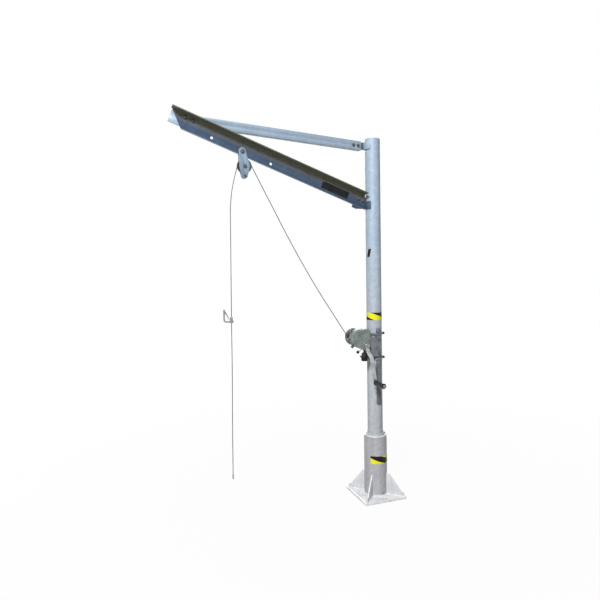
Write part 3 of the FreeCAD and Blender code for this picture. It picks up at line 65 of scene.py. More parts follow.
MAST_R = 0.0508
SOCKET_R = 0.0762
PLATE_TOP = 0.015
GUSSET_FOOT_R = 0.192
GUSSET_HALF = 0.005
GUSSET_TOP = 0.150
JIB_SIN = 0.351842
JIB_COS = 0.936060
JIB_AXIS_Z = 1.952
DRUM_X = -0.143
DRUM_Z = 1.066
ROPE_D = 0.005
FALL_TOP = (-0.932635, 0.0, 2.186323)
LEAD_ROUTE = [
    (-0.177941, 0.0, 1.042695), (-0.194587, 0.0, 1.067653), (-0.5025, 0.0, 1.5293),
    (-0.841078, 0.0, 2.168000), (-0.859895, 0.0, 2.203497), (-0.876601, 0.0, 2.215122),
    (-0.896775, 0.0, 2.217811), (-0.915942, 0.0, 2.210968), (-0.929852, 0.0, 2.196111), FALL_TOP,
]
FALL_ROUTE = [
    FALL_TOP, (-0.966, 0.0, 2.069), (-0.983, 0.0, 1.935), (-0.983, 0.0, 1.800), (-0.983, 0.0, 1.240),
]
TAIL_ROUTE = [
    (-0.983, 0.0, 1.204), (-0.983, 0.0, 1.174), (-0.9805, 0.002, 0.900),
    (-0.9840, -0.002, 0.560), (-0.983, 0.0, 0.301), (-0.983, 0.0, 0.271),
]
WOUND_R = 0.042
WOUND_START = -2.553369
WOUND_TURNS = 6
WOUND_PITCH = 0.0056
GRIP_X = -0.060442
GRIP_Z = 0.782029
KNOB_X = -0.104
KNOB_Y = -0.056


# Node trees

FLOAT = "NodeSocketFloat"
VECTOR = "NodeSocketVector"
WHOLE_NUMBER = "NodeSocketInt"
MATERIAL = "NodeSocketMaterial"
GEOMETRY = "NodeSocketGeometry"


def new_tree(kind, name, inputs, outputs):
    """An empty tree with named sockets, and its two end nodes."""
    tree = bpy.data.node_groups.new(name, kind)
    for label, socket_kind, value in inputs:
        socket = tree.interface.new_socket(label, in_out="INPUT", socket_type=socket_kind)
        if value is not None:
            socket.default_value = value
    for label, socket_kind in outputs:
        tree.interface.new_socket(label, in_out="OUTPUT", socket_type=socket_kind)
    return tree, tree.nodes.new("NodeGroupInput"), tree.nodes.new("NodeGroupOutput")


def add(tree, kind, links=(), **settings):
    """A node with its settings, and its inputs linked or set by name or place."""
    node = tree.nodes.new(kind)
    for key, value in settings.items():
        setattr(node, key, value)
    for socket, value in dict(links).items():
        target = node.inputs[socket]
        if isinstance(value, bpy.types.NodeSocket):
            tree.links.new(value, target)
        else:
            target.default_value = value
    return node


def maths(tree, operation, *values):
    """One step of arithmetic on numbers or sockets."""
    return add(tree, "ShaderNodeMath", enumerate(values), operation=operation).outputs[0]


def scaled(tree, value, amount):
    return maths(tree, "MULTIPLY", value, amount)


def vector_maths(tree, operation, *values):
    """One step on vectors: it gives a number for a length or a dot product, and else a vector."""
    node = add(tree, "ShaderNodeVectorMath", enumerate(values), operation=operation)
    return node.outputs["Value" if operation in ("LENGTH", "DOT_PRODUCT") else "Vector"]


def ramp(tree, value, low, high, first=0.0, last=1.0):
    """The value spread from first, at low, to last, at high."""
    return add(tree, "ShaderNodeMapRange", {0: value, 1: low, 2: high, 3: first, 4: last}).outputs[0]


def noise(tree, vector, scale, detail, roughness=0.5):
    return add(tree, "ShaderNodeTexNoise", {
        "Vector": vector, "Scale": scale, "Detail": detail, "Roughness": roughness})


def put_out(tree, end, **results):
    """Links the results to the tree's outputs of the same names."""
    for label, result in results.items():
        tree.links.new(result, end.inputs[label])
    return tree


# Effects that several finishes share

FLAKE_SCALE = 60.0
FLAKE_WARP = 0.012


def spangle_group():
    """Zinc crystals: flat flakes of slightly different tone, with soft cloudy patches over them."""
    tree, start, end = new_tree(
        "ShaderNodeTree", "zinc_spangle",
        [("Vector", VECTOR, None), ("Flake Scale", FLOAT, FLAKE_SCALE), ("Cloud Scale", FLOAT, 7.0)],
        [("Flake", FLOAT), ("Cloud", FLOAT), ("Height", FLOAT)])
    place = start.outputs["Vector"]
    warp = noise(tree, place, scale=90.0, detail=2.0).outputs["Color"]
    bent = vector_maths(tree, "MULTIPLY", warp, (FLAKE_WARP, FLAKE_WARP, FLAKE_WARP))
    cells = add(tree, "ShaderNodeTexVoronoi", {
        "Vector": vector_maths(tree, "ADD", place, bent), "Scale": start.outputs["Flake Scale"]})
    flake = add(tree, "ShaderNodeSeparateColor", {0: cells.outputs["Color"]}).outputs[0]
    cloud = noise(tree, place, start.outputs["Cloud Scale"], detail=5.0, roughness=0.6).outputs["Fac"]
    grit = noise(tree, place, scale=420.0, detail=3.0).outputs["Fac"]
    return put_out(tree, end, Flake=flake, Cloud=ramp(tree, cloud, low=0.3, high=0.7), Height=grit)


def streak_group():
    """Run marks that rain and handling leave: long upright stains, broken up by fine scuffs."""
    tree, start, end = new_tree(
        "ShaderNodeTree", "weather_marks",
        [("Vector", VECTOR, None), ("Stretch", FLOAT, 0.06), ("Scale", FLOAT, 30.0)],
        [("Streak", FLOAT), ("Scuff", FLOAT)])
    place = start.outputs["Vector"]
    tall = add(tree, "ShaderNodeCombineXYZ", {0: 1.0, 1: 1.0, 2: start.outputs["Stretch"]}).outputs[0]
    drawn = vector_maths(tree, "MULTIPLY", place, tall)
    runs = noise(tree, drawn, start.outputs["Scale"], detail=6.0, roughness=0.65).outputs["Fac"]
    marks = noise(tree, place, scale=160.0, detail=6.0, roughness=0.75).outputs["Fac"]
    return put_out(tree, end, Streak=ramp(tree, runs, low=0.42, high=0.68),
                   Scuff=ramp(tree, marks, low=0.56, high=0.72))


def grain_group():
    """The fine skin of a moulded or painted surface."""
    tree, start, end = new_tree(
        "ShaderNodeTree", "moulded_skin",
        [("Vector", VECTOR, None), ("Scale", FLOAT, 900.0)],
        [("Skin", FLOAT), ("Patch", FLOAT)])
    place = start.outputs["Vector"]
    skin = noise(tree, place, start.outputs["Scale"], detail=2.0).outputs["Fac"]
    patch = noise(tree, place, scale=24.0, detail=5.0).outputs["Fac"]
    return put_out(tree, end, Skin=skin, Patch=ramp(tree, patch, low=0.35, high=0.65))


SPANGLE = spangle_group()
STREAKS = streak_group()
GRAIN = grain_group()


# Finishes


def shade(red, green, blue):
    """A colour as it is seen, 0 to 255, as the linear colour that the shaders take."""
    seen = [c / 255 for c in (red, green, blue)]
    return tuple(c / 12.92 if c <= 0.04045 else ((c + 0.055) / 1.055) ** 2.4 for c in seen) + (1.0,)


def blank_finish(name):
    """A new material with its tree and shader, and the places on the piece."""
    material = bpy.data.materials.new(name)
    material.use_nodes = True
    tree = material.node_tree
    coords = add(tree, "ShaderNodeTexCoord").outputs["Object"]
    return material, tree, tree.nodes["Principled BSDF"], coords


def placed_group(tree, group, coords, **values):
    """A shared effect with its own values, given by the names of its inputs."""
    node = add(tree, "ShaderNodeGroup", node_tree=group)
    tree.links.new(coords, node.inputs["Vector"])
    for key, value in values.items():
        node.inputs[key.replace("_", " ")].default_value = value
    return node


def blended(tree, share, first, second):
    """Between two colours, each a socket or a colour as it is seen."""
    ends = [end if isinstance(end, bpy.types.NodeSocket) else shade(*end) for end in (first, second)]
    return add(tree, "ShaderNodeMix", {0: share, 6: ends[0], 7: ends[1]}, data_type="RGBA").outputs[2]


def tinted(tree, share, colour, tint):
    """The colour multiplied by a tint, as far as the share goes."""
    return add(tree, "ShaderNodeMix", {0: share, 6: colour, 7: tint},
               data_type="RGBA", blend_type="MULTIPLY").outputs[2]


def settle(tree, shader, colour, metal=0.0, gloss=0.5):
    """The colour of a finish, with its plain shares of metal and gloss."""
    tree.links.new(colour, shader.inputs["Base Color"])
    shader.inputs["Metallic"].default_value = metal
    shader.inputs["Specular IOR Level"].default_value = gloss


def roughened(tree, shader, share, low, high):
    tree.links.new(ramp(tree, share, 0.0, 1.0, low, high), shader.inputs["Roughness"])


def bumped(tree, shader, height, strength, distance):
    bump = add(tree, "ShaderNodeBump", {"Height": height, "Strength": strength, "Distance": distance})
    tree.links.new(bump.outputs[0], shader.inputs["Normal"])


FLAKE_SHARE = 0.6
CLOUD_SHARE = 0.35


def zinc_tone(tree, coords, shader, tones, streak, flake_scale=FLAKE_SCALE):
    """The colour of hot-dipped zinc: light and dark flakes, cloudy patches and stained run marks."""
    light, dark, stain = tones
    zinc = placed_group(tree, SPANGLE, coords, Flake_Scale=flake_scale)
    marks = placed_group(tree, STREAKS, coords)
    flakes = blended(tree, scaled(tree, zinc.outputs["Flake"], FLAKE_SHARE), light, dark)
    clouds = blended(tree, scaled(tree, zinc.outputs["Cloud"], CLOUD_SHARE), flakes, dark)
    roughened(tree, shader, zinc.outputs["Flake"], low=0.34, high=0.46)
    bumped(tree, shader, zinc.outputs["Height"], strength=0.10, distance=0.0006)
    return blended(tree, scaled(tree, marks.outputs["Streak"], streak), clouds, stain)


def galvanised(name, *tones, metal, streak=0.35, flake_scale=FLAKE_SCALE):
    material, tree, shader, coords = blank_finish(name)
    settle(tree, shader, zinc_tone(tree, coords, shader, tones, streak, flake_scale), metal)
    return material


WEATHERED_METAL = 0.1
WEATHERED_GLOSS = 0.06
# the blue of a painted sky reflection
PAINTED_SKY_TINT = (0.84, 0.98, 1.12, 1.0)


def mast_zinc():
    """The mast's zinc: neutral near the ground, and tinted blue higher up as a painted sky reflection."""
    material, tree, shader, coords = blank_finish("mast_zinc")
    tones = (190, 194, 198), (160, 166, 172), (124, 130, 136)
    zinc = zinc_tone(tree, coords, shader, tones, streak=0.22)
    height = add(tree, "ShaderNodeSeparateXYZ", {0: coords}).outputs["Z"]
    # painted sky reflection: bluer from 1.0 m up to 1.7 m
    sky_reflected = tinted(tree, ramp(tree, height, low=1.0, high=1.7), zinc, PAINTED_SKY_TINT)
    settle(tree, shader, sky_reflected, WEATHERED_METAL, WEATHERED_GLOSS)
    return material


def jib_zinc():
    """The jib's zinc: dark blue-grey as painted shade, its blue a painted sky reflection; up the front an
    earthy painted shade and ground reflection under the flange, the flange in the same earthy painted
    shade, and a lighter lower edge.
    """
    material, tree, shader, coords = blank_finish("jib_zinc")
    # dark blue-grey base: painted shade, with a bluish painted sky reflection
    tones = (76, 92, 115), (62, 76, 98), (56, 64, 76)
    blue = zinc_tone(tree, coords, shader, tones, streak=0.3)
    marks = placed_group(tree, STREAKS, coords, Stretch=1.0, Scale=18.0)
    # earthy painted shade and ground reflection under the top flange, on the front only
    painted_shade_earth = blended(tree, marks.outputs["Streak"], (114, 114, 100), (102, 102, 84))
    across = vector_maths(tree, "DOT_PRODUCT", coords, (JIB_SIN, 0.0, JIB_COS))
    height = maths(tree, "SUBTRACT", across, JIB_AXIS_Z * JIB_COS)
    depth = add(tree, "ShaderNodeSeparateXYZ", {0: coords}).outputs["Y"]
    front = ramp(tree, depth, low=0.002, high=0.0)
    painted_shade_share = scaled(tree, ramp(tree, height, low=-0.012, high=0.030), front)
    upper = blended(tree, painted_shade_share, blue, painted_shade_earth)
    # the flange drawn in the same earthy painted shade
    shaded_flange = blended(tree, ramp(tree, height, low=0.038, high=0.046), upper, (112, 111, 98))
    # a lighter band along the lower edge
    pale_lower_edge = blended(tree, ramp(tree, height, low=-0.044, high=-0.050), shaded_flange, (120, 136, 152))
    settle(tree, shader, pale_lower_edge, WEATHERED_METAL, WEATHERED_GLOSS)
    return material


def tie_bracket_zinc():
    """The tie bracket: its saddle keeps the mast's zinc, and the lug beyond it is painted darker as painted
    shade.
    """
    material, tree, shader, coords = blank_finish("tie_bracket_zinc")
    tones = (170, 186, 202), (146, 162, 178), (116, 130, 144)
    pale = zinc_tone(tree, coords, shader, tones, streak=0.22)
    from_mast_axis = vector_maths(tree, "LENGTH", vector_maths(tree, "MULTIPLY", coords, (1.0, 1.0, 0.0)))
    # painted shade on the lug beyond the saddle
    shaded_lug = ramp(tree, from_mast_axis, low=0.0590, high=0.0606)
    settle(tree, shader, blended(tree, shaded_lug, pale, (76, 92, 104)), WEATHERED_METAL, gloss=0.15)
    return material


def worn_skin(name, base, worn, rough, metal, gloss, scuff, stretch, scale, bump, depth):
    """A smooth surface with patches and scuffs of a second tone, under a fine skin."""
    material, tree, shader, coords = blank_finish(name)
    skin = placed_group(tree, GRAIN, coords)
    marks = placed_group(tree, STREAKS, coords, Stretch=stretch, Scale=scale)
    patchy = blended(tree, skin.outputs["Patch"], base, worn)
    scuffed = blended(tree, scaled(tree, marks.outputs["Scuff"], scuff), patchy, worn)
    settle(tree, shader, scuffed, metal, gloss)
    roughened(tree, shader, skin.outputs["Patch"], *rough)
    bumped(tree, shader, skin.outputs["Skin"], bump, depth)
    return material


def plain_metal(name, light, dark, metal, rough, gloss=0.5):
    """Plated or machined steel with darker handling marks."""
    return worn_skin(name, light, dark, rough, metal=metal, gloss=gloss,
                     scuff=0.3, stretch=0.5, scale=60.0, bump=0.08, depth=0.0003)


def moulded(name, light, dark, rough, bump=0.25, gloss=0.5):
    """Moulded plastic or paint with a little pale dust."""
    return worn_skin(name, dark, light, rough, metal=0.0, gloss=gloss,
                     scuff=0.35, stretch=0.6, scale=80.0, bump=bump, depth=0.0004)


ROPE_TONES = (102, 104, 100), (60, 62, 58)
# darkens the rope towards the drum
LEAD_DARKENING_TINT = (0.36, 0.36, 0.34, 1.0)


def rope_wire(name):
    return plain_metal(name, *ROPE_TONES, metal=0.6, rough=(0.40, 0.58))


def darker_lead_wire():
    """The rope's wire towards the drum: darker, and back to the plain tone as it comes over the sheave."""
    material = rope_wire("greased_rope_wire")
    tree = material.node_tree
    colour = tree.nodes["Principled BSDF"].inputs["Base Color"]
    coords = add(tree, "ShaderNodeTexCoord").outputs["Object"]
    towards_drum = add(tree, "ShaderNodeSeparateXYZ", {0: coords}).outputs["X"]
    darkening = ramp(tree, towards_drum, low=-0.93, high=-0.80)
    tree.links.new(tinted(tree, darkening, colour.links[0].from_socket, LEAD_DARKENING_TINT), colour)
    return material


STRIPE_PERIOD = 0.22
STRIPE_SLOPE = 0.36
TAPE_YELLOW = (226, 220, 44)
TAPE_BLACK = (12, 12, 12)
TAPE_RUBBED = (120, 112, 84)
TAPE_SCUFF = 0.18


def striped(name, radius, shift):
    """Yellow and black tape: its stripes lean round the tube that it is on, with the seam at the back."""
    material, tree, shader, coords = blank_finish(name)
    place = add(tree, "ShaderNodeSeparateXYZ", {0: coords}).outputs
    turn = maths(tree, "ARCTAN2", place["X"], scaled(tree, place["Y"], -1.0))
    leaned = scaled(tree, place["Z"], 1 / STRIPE_SLOPE)
    along = maths(tree, "ADD", scaled(tree, turn, radius), leaned)
    stripe = maths(tree, "FLOORED_MODULO", maths(tree, "ADD", along, shift), STRIPE_PERIOD)
    black = maths(tree, "GREATER_THAN", stripe, STRIPE_PERIOD / 2)
    scuff = placed_group(tree, STREAKS, coords, Stretch=0.8, Scale=90.0).outputs["Scuff"]
    colour = blended(tree, black, TAPE_YELLOW, TAPE_BLACK)
    worn = blended(tree, scaled(tree, scuff, TAPE_SCUFF), colour, TAPE_RUBBED)
    settle(tree, shader, worn, gloss=0.2)
    roughened(tree, shader, scuff, low=0.45, high=0.65)
    return material


FINISHES = {
    "galvanised": mast_zinc(),
    "foot_galvanised": galvanised(
        "foot_zinc", (236, 237, 238), (208, 210, 212), (164, 165, 164), metal=0.1),
    "jib_galvanised": jib_zinc(),
    # the brackets' dark blue-grey zinc is painted shade
    "bracket_steel": plain_metal(
        "bracket_zinc", (82, 96, 112), (58, 72, 88), metal=0.2, rough=(0.40, 0.55), gloss=0.2),
    "bush_nylon": moulded(
        "bush_nylon", (226, 228, 222), (200, 202, 196), rough=(0.42, 0.55), bump=0.1),
    "zinc_fasteners": plain_metal(
        "bolt_zinc", (150, 154, 158), (92, 96, 100), metal=0.85, rough=(0.28, 0.45)),
    "bar_black_steel": moulded(
        "bar_paint", (116, 121, 128), (90, 95, 102), rough=(0.38, 0.55), gloss=0.35),
    "black_plastic": moulded(
        "knob_plastic", (30, 30, 33), (14, 14, 16), rough=(0.38, 0.58), gloss=0.3),
    "winch_plate": plain_metal(
        "winch_zinc", (134, 142, 138), (110, 118, 114), metal=0.12, rough=(0.40, 0.54), gloss=0.12),
    "machined_steel": plain_metal(
        "machined_steel", (168, 170, 172), (112, 114, 116), metal=0.9, rough=(0.25, 0.40)),
    "brake_lining": moulded(
        "brake_lining", (110, 92, 76), (70, 58, 48), rough=(0.65, 0.8)),
    "bronze": plain_metal(
        "bush_bronze", (176, 138, 84), (128, 96, 54), metal=0.9, rough=(0.30, 0.46)),
    "sheave_iron": plain_metal(
        "sheave_iron", (84, 88, 92), (48, 52, 56), metal=0.7, rough=(0.40, 0.6)),
    "wire_rope": rope_wire("rope_wire"),
    "hook_steel": plain_metal(
        "hook_zinc", (160, 163, 165), (112, 116, 118), metal=0.55, rough=(0.34, 0.5)),
    "crank_zinc": plain_metal(
        "crank_zinc", (190, 192, 190), (150, 154, 154), metal=0.5, rough=(0.25, 0.42)),
}
TIE_ZINC = galvanised(
    "tie_zinc", (150, 167, 185), (130, 147, 166), (112, 127, 142), metal=0.15, streak=0.25)
SOCKET_ZINC = galvanised(
    "socket_zinc", (180, 180, 185), (154, 154, 159), (130, 126, 128), metal=0.15, streak=0.3)
# a darker copy of the foot's zinc: painted shade on the gussets' upright faces
GUSSET_ZINC = galvanised(
    "gusset_zinc", (216, 218, 220), (190, 193, 196), (150, 151, 150), metal=0.1, streak=0.3)
CHEEK_ZINC = galvanised(
    "cheek_zinc", (150, 168, 184), (102, 124, 146), (74, 96, 118), metal=0.2, streak=0.55,
    flake_scale=40.0)
WELD_ZINC = galvanised(
    "weld_zinc", (220, 221, 222), (192, 193, 194), (156, 156, 154), metal=0.15, flake_scale=160.0)
BOLT_DARK = plain_metal(
    "dull_bolt_zinc", (104, 108, 112), (66, 70, 74), metal=0.5, rough=(0.40, 0.55))
PANEL_BLACK = moulded(
    "bare_black_film", (26, 27, 29), (12, 12, 14), rough=(0.34, 0.50), bump=0.05, gloss=0.2)
MAST_TAPE = striped("mast_hazard_tape", MAST_R, shift=0.045)
SOCKET_TAPE = striped("socket_hazard_tape", SOCKET_R, shift=0.111)
PLAIN_WIRE = FINISHES["wire_rope"]
DARKER_LEAD_WIRE = darker_lead_wire()

OWN_FINISHES = [
    (TIE_ZINC, ("tie_bar", "tip_cleat")),
    (tie_bracket_zinc(), ("tie_bracket",)),
    (SOCKET_ZINC, ("socket_tube",)),
    (GUSSET_ZINC, ("gussets",)),
    (CHEEK_ZINC, ("near_cheek", "far_cheek")),
    (BOLT_DARK, ("frame_bolts", "frame_nuts", "hanger_bolt", "sheave_pin", "guard_pin", "cover_screws",
                 "mount_bolts")),
]


def wear(obj, material):
    obj.data.materials.clear()
    obj.data.materials.append(material)


for node_name, node_object in nodes.items():
    wear(node_object, FINISHES[NODE_SLOTS[node_name]])
for own_finish, wearers in OWN_FINISHES:
    for wearer in wearers:
        wear(nodes[wearer], own_finish)


# Making and placing pieces

MERGE_DISTANCE = 0.000001
NODE_MERGE_DISTANCE = 0.00002
FLAT_WITHIN = math.radians(1.0)
SHARP_FROM = math.radians(40.0)


def held(name, data):
    """A new object at the origin of the scene."""
    obj = bpy.data.objects.new(name, data)
    scene.collection.objects.link(obj)
    return obj


def plain_result(holder):
    """What the object's curve or modifiers make, as a plain mesh; the object itself goes."""
    graph = bpy.context.evaluated_depsgraph_get()
    mesh = bpy.data.meshes.new_from_object(holder.evaluated_get(graph), depsgraph=graph)
    bpy.data.objects.remove(holder)
    return mesh


def worked_mesh(name, work):
    mesh = bpy.data.meshes.new(name)
    work.to_mesh(mesh)
    work.free()
    return mesh


def plain_piece(name, mesh, body, material, slot, *stands_for):
    """A finished mesh that rides on a body, in place of the nodes that it stands for."""
    piece = held(name, mesh)
    wear(piece, material)
    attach(piece, body)
    if stands_for:
        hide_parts(*stands_for)
    return piece


def smooth_by_angle(mesh, degrees=32.0):
    mesh.shade_smooth()
    mesh.set_sharp_from_angle(angle=math.radians(degrees))


def eased(node, width):
    """A copy of a node with its sharp edges broken, as they are after cutting and dipping."""
    work = bmesh.new()
    work.from_mesh(nodes[node].data)
    bmesh.ops.remove_doubles(work, verts=work.verts, dist=NODE_MERGE_DISTANCE)
    bmesh.ops.dissolve_limit(work, angle_limit=FLAT_WITHIN, verts=work.verts, edges=work.edges)
    holder = held(node + "_work", worked_mesh(node + "_eased", work))
    bevel = holder.modifiers.new("broken_edges", "BEVEL")
    bevel.width = width
    bevel.segments = 2
    bevel.limit_method = "ANGLE"
    bevel.angle_limit = SHARP_FROM
    finished = plain_result(holder)
    smooth_by_angle(finished, degrees=38.0)
    material = nodes[node].data.materials[0]
    return plain_piece(node + "_eased", finished, NODE_BODY[node], material, NODE_SLOTS[node], node)


# Shapes that repeat or follow a line

ROPE_SIDES = 36
RIB_SIDES = 16
SMALLEST_DROP = 0.85
LARGEST_DROP = 1.12


def geometry_tree(name, *inputs):
    """An empty tree that takes a line or a body, the sizes given and a finish."""
    body = ("Geometry", GEOMETRY, None)
    finish = ("Finish", MATERIAL, None)
    return new_tree("GeometryNodeTree", name, [body, *inputs, finish], [("Geometry", GEOMETRY)])


def even_line(tree, start, step):
    """The given edges as a curve with a point at every step."""
    line = add(tree, "GeometryNodeMeshToCurve", {0: start.outputs["Geometry"]}).outputs[0]
    return add(tree, "GeometryNodeResampleCurve", {"Curve": line, "Length": start.outputs[step]},
               mode="LENGTH").outputs[0]


def dressed(tree, start, end, geometry):
    """The last steps of every tree: real geometry in its finish."""
    whole = add(tree, "GeometryNodeRealizeInstances", {0: geometry}).outputs[0]
    finish = start.outputs["Finish"]
    finished = add(tree, "GeometryNodeSetMaterial", {"Geometry": whole, "Material": finish})
    return put_out(tree, end, Geometry=finished.outputs[0])


def stranded_rope_tree():
    """A laid wire rope along a line: a lobed section that turns once in each lay length."""
    tree, start, end = geometry_tree(
        "stranded_rope", ("Rope Radius", FLOAT, 0.0025), ("Lay Length", FLOAT, 0.034),
        ("Strands", FLOAT, 6.0), ("Groove Share", FLOAT, 0.24), ("Step", FLOAT, 0.002))
    run = add(tree, "GeometryNodeSplineParameter").outputs["Length"]
    turns = maths(tree, "DIVIDE", run, start.outputs["Lay Length"])
    laid = add(tree, "GeometryNodeSetCurveTilt", {
        "Curve": even_line(tree, start, "Step"), "Tilt": scaled(tree, turns, 2 * math.pi)})
    ring = add(tree, "GeometryNodeCurvePrimitiveCircle", {
        "Resolution": ROPE_SIDES, "Radius": start.outputs["Rope Radius"]})
    place = add(tree, "GeometryNodeInputPosition").outputs[0]
    parts = add(tree, "ShaderNodeSeparateXYZ", {0: place}).outputs
    angle = maths(tree, "ARCTAN2", parts["Y"], parts["X"])
    wave = scaled(tree, angle, scaled(tree, start.outputs["Strands"], 0.5))
    bulge = maths(tree, "ABSOLUTE", maths(tree, "COSINE", wave))
    groove = scaled(tree, maths(tree, "SUBTRACT", 1.0, bulge), start.outputs["Groove Share"])
    keep = maths(tree, "SUBTRACT", 1.0, groove)
    drawn_in = add(tree, "ShaderNodeVectorMath", {0: place, "Scale": keep}, operation="SCALE").outputs[0]
    lobed = add(tree, "GeometryNodeSetPosition", {"Geometry": ring.outputs[0], "Position": drawn_in})
    tube = add(tree, "GeometryNodeCurveToMesh", {
        "Curve": laid.outputs[0], "Profile Curve": lobed.outputs[0], "Fill Caps": True})
    soft = add(tree, "GeometryNodeSetShadeSmooth", {0: tube.outputs[0]})
    return dressed(tree, start, end, soft.outputs[0])


def weld_bead_tree():
    """A bead along a line: overlapping drops, each a little different in size."""
    tree, start, end = geometry_tree(
        "weld_bead", ("Bead Radius", FLOAT, 0.004), ("Ripple Step", FLOAT, 0.0035),
        ("Seed", WHOLE_NUMBER, 3))
    ball = add(tree, "GeometryNodeMeshIcoSphere", {
        "Radius": start.outputs["Bead Radius"], "Subdivisions": 2})
    drop = add(tree, "GeometryNodeSetShadeSmooth", {0: ball.outputs[0]})
    size = add(tree, "FunctionNodeRandomValue", {
        2: SMALLEST_DROP, 3: LARGEST_DROP, "Seed": start.outputs["Seed"]})
    beads = add(tree, "GeometryNodeInstanceOnPoints", {
        "Points": even_line(tree, start, "Ripple Step"), "Instance": drop.outputs[0],
        "Scale": size.outputs[1]})
    return dressed(tree, start, end, beads.outputs[0])


def ribs_round_tree():
    """A turned body with round bars sunk in a ring about its axis, for the grip of a hand."""
    tree, start, end = geometry_tree(
        "ribs_round", ("Ribs", WHOLE_NUMBER, 12), ("Ring Radius", FLOAT, 0.02),
        ("Rib Radius", FLOAT, 0.0015), ("Rib Length", FLOAT, 0.02), ("Centre", VECTOR, None),
        ("Turn", VECTOR, None))
    ring = add(tree, "GeometryNodeMeshCircle", {
        "Vertices": start.outputs["Ribs"], "Radius": start.outputs["Ring Radius"]})
    bar = add(tree, "GeometryNodeMeshCylinder", {
        "Vertices": RIB_SIDES, "Radius": start.outputs["Rib Radius"], "Depth": start.outputs["Rib Length"]})
    bars = add(tree, "GeometryNodeInstanceOnPoints", {
        "Points": ring.outputs[0], "Instance": bar.outputs[0]})
    turned = add(tree, "GeometryNodeTransform", {
        "Geometry": bars.outputs[0], "Translation": start.outputs["Centre"],
        "Rotation": start.outputs["Turn"]})
    both = add(tree, "GeometryNodeJoinGeometry")
    tree.links.new(start.outputs["Geometry"], both.inputs[0])
    tree.links.new(turned.outputs[0], both.inputs[0])
    return dressed(tree, start, end, both.outputs[0])


ROPE_TREE = stranded_rope_tree()
WELD_TREE = weld_bead_tree()
RIBS_TREE = ribs_round_tree()


def grown(name, mesh, tree, **sizes):
    """The plain mesh that a tree grows from a line or a body."""
    holder = held(name + "_seed", mesh)
    modifier = holder.modifiers.new(name, "NODES")
    modifier.node_group = tree
    for item in tree.interface.items_tree:
        key = item.name.replace(" ", "_")
        if item.in_out == "INPUT" and key in sizes:
            modifier[item.identifier] = sizes[key]
    return plain_result(holder)


def smooth_line(name, points, fineness):
    """The line of a NURBS spline through these controls, as a mesh of edges and as its points."""
    curve = bpy.data.curves.new(name + "_route", "CURVE")
    curve.dimensions = "3D"
    spline = curve.splines.new("NURBS")
    spline.points.add(len(points) - 1)
    for control, place in zip(spline.points, points):
        control.co = (*place, 1.0)
    spline.order_u = 3
    spline.use_endpoint_u = True
    spline.resolution_u = fineness
    mesh = plain_result(held(name + "_route", curve))
    return mesh, [v.co.copy() for v in mesh.vertices]


# Hoist rope

WOUND_STEP = math.radians(30)
WOUND_STEPS = round(WOUND_TURNS * 2 * math.pi / WOUND_STEP)
WOUND_CONTROL_R = WOUND_R / math.cos(WOUND_STEP / 2)


def rope_piece(name, route, body, node, finish, fineness=24):
    """A laid rope along a route, with the points of its line."""
    line, points = smooth_line(name, route, fineness)
    mesh = grown(name, line, ROPE_TREE, Rope_Radius=ROPE_D / 2, Finish=finish)
    return plain_piece(name, mesh, body, finish, "wire_rope", node), points


def wound_point(turn):
    """A control of the winding, so far round the drum from where the rope meets it."""
    angle = WOUND_START + turn
    return (DRUM_X + WOUND_CONTROL_R * math.cos(angle), WOUND_PITCH * turn / (2 * math.pi),
            DRUM_Z + WOUND_CONTROL_R * math.sin(angle))


lead, lead_points = rope_piece("rope_lead_strands", LEAD_ROUTE, "mast", "rope_lead", DARKER_LEAD_WIRE)

fall, fall_points = rope_piece("rope_fall_strands", FALL_ROUTE, "mast", "rope_fall", PLAIN_WIRE)
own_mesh(fall)

tail, tail_points = rope_piece("rope_tail_strands", TAIL_ROUTE, "hook", "rope_tail", PLAIN_WIRE)

wound_route = [wound_point(WOUND_STEP * i) for i in range(WOUND_STEPS + 1)]
rope_piece("rope_wound_strands", wound_route, "drum", "rope_wound", DARKER_LEAD_WIRE, fineness=6)


# Tape, film and welds

FILM_THICK = 0.0004
FILM_LIFT = 0.0002
RIPPLE_SHARE = 0.8


def film_on_tube(name, tube_radius, turns, heights, body, material, columns=48, lean=0.0):
    """A thin film on an upright tube, between two turns in degrees; lean moves its top edge round."""
    radius = tube_radius + FILM_LIFT
    first, last = (math.radians(turn) for turn in turns)
    work = bmesh.new()
    rows = []
    for height, moved in zip(heights, (0.0, math.radians(lean))):
        angles = [first + (last - first) * i / columns + moved for i in range(columns + 1)]
        rows.append([work.verts.new((radius * math.cos(a), radius * math.sin(a), height)) for a in angles])
    low, high = rows
    for i in range(columns):
        work.faces.new((low[i], low[i + 1], high[i + 1], high[i]))
    bmesh.ops.remove_doubles(work, verts=work.verts, dist=MERGE_DISTANCE)
    holder = held(name + "_work", worked_mesh(name, work))
    film = holder.modifiers.new("film", "SOLIDIFY")
    film.thickness = FILM_THICK
    film.offset = 1.0
    finished = plain_result(holder)
    smooth_by_angle(finished)
    return plain_piece(name, finished, body, material, "black_plastic")


film_on_tube("mast_tape", MAST_R, turns=(0, 360), heights=(1.179, 1.229), body="mast", material=MAST_TAPE)
film_on_tube("socket_tape", SOCKET_R, turns=(-143, 60), heights=(0.226, 0.276), body="base",
             material=SOCKET_TAPE)
film_on_tube("mast_patch", MAST_R, turns=(-172, -148), heights=(1.602, 1.656), body="mast",
             material=PANEL_BLACK, columns=12, lean=14)


def runs_mesh(name, runs, closed):
    """Several separate lines as one mesh of edges."""
    mesh = bpy.data.meshes.new(name)
    points, edges = [], []
    for run in runs:
        first = len(points)
        points += [tuple(p) for p in run]
        edges += [(i, i + 1) for i in range(first, len(points) - 1)]
        if closed:
            edges.append((len(points) - 1, first))
    mesh.from_pydata(points, edges, [])
    return mesh


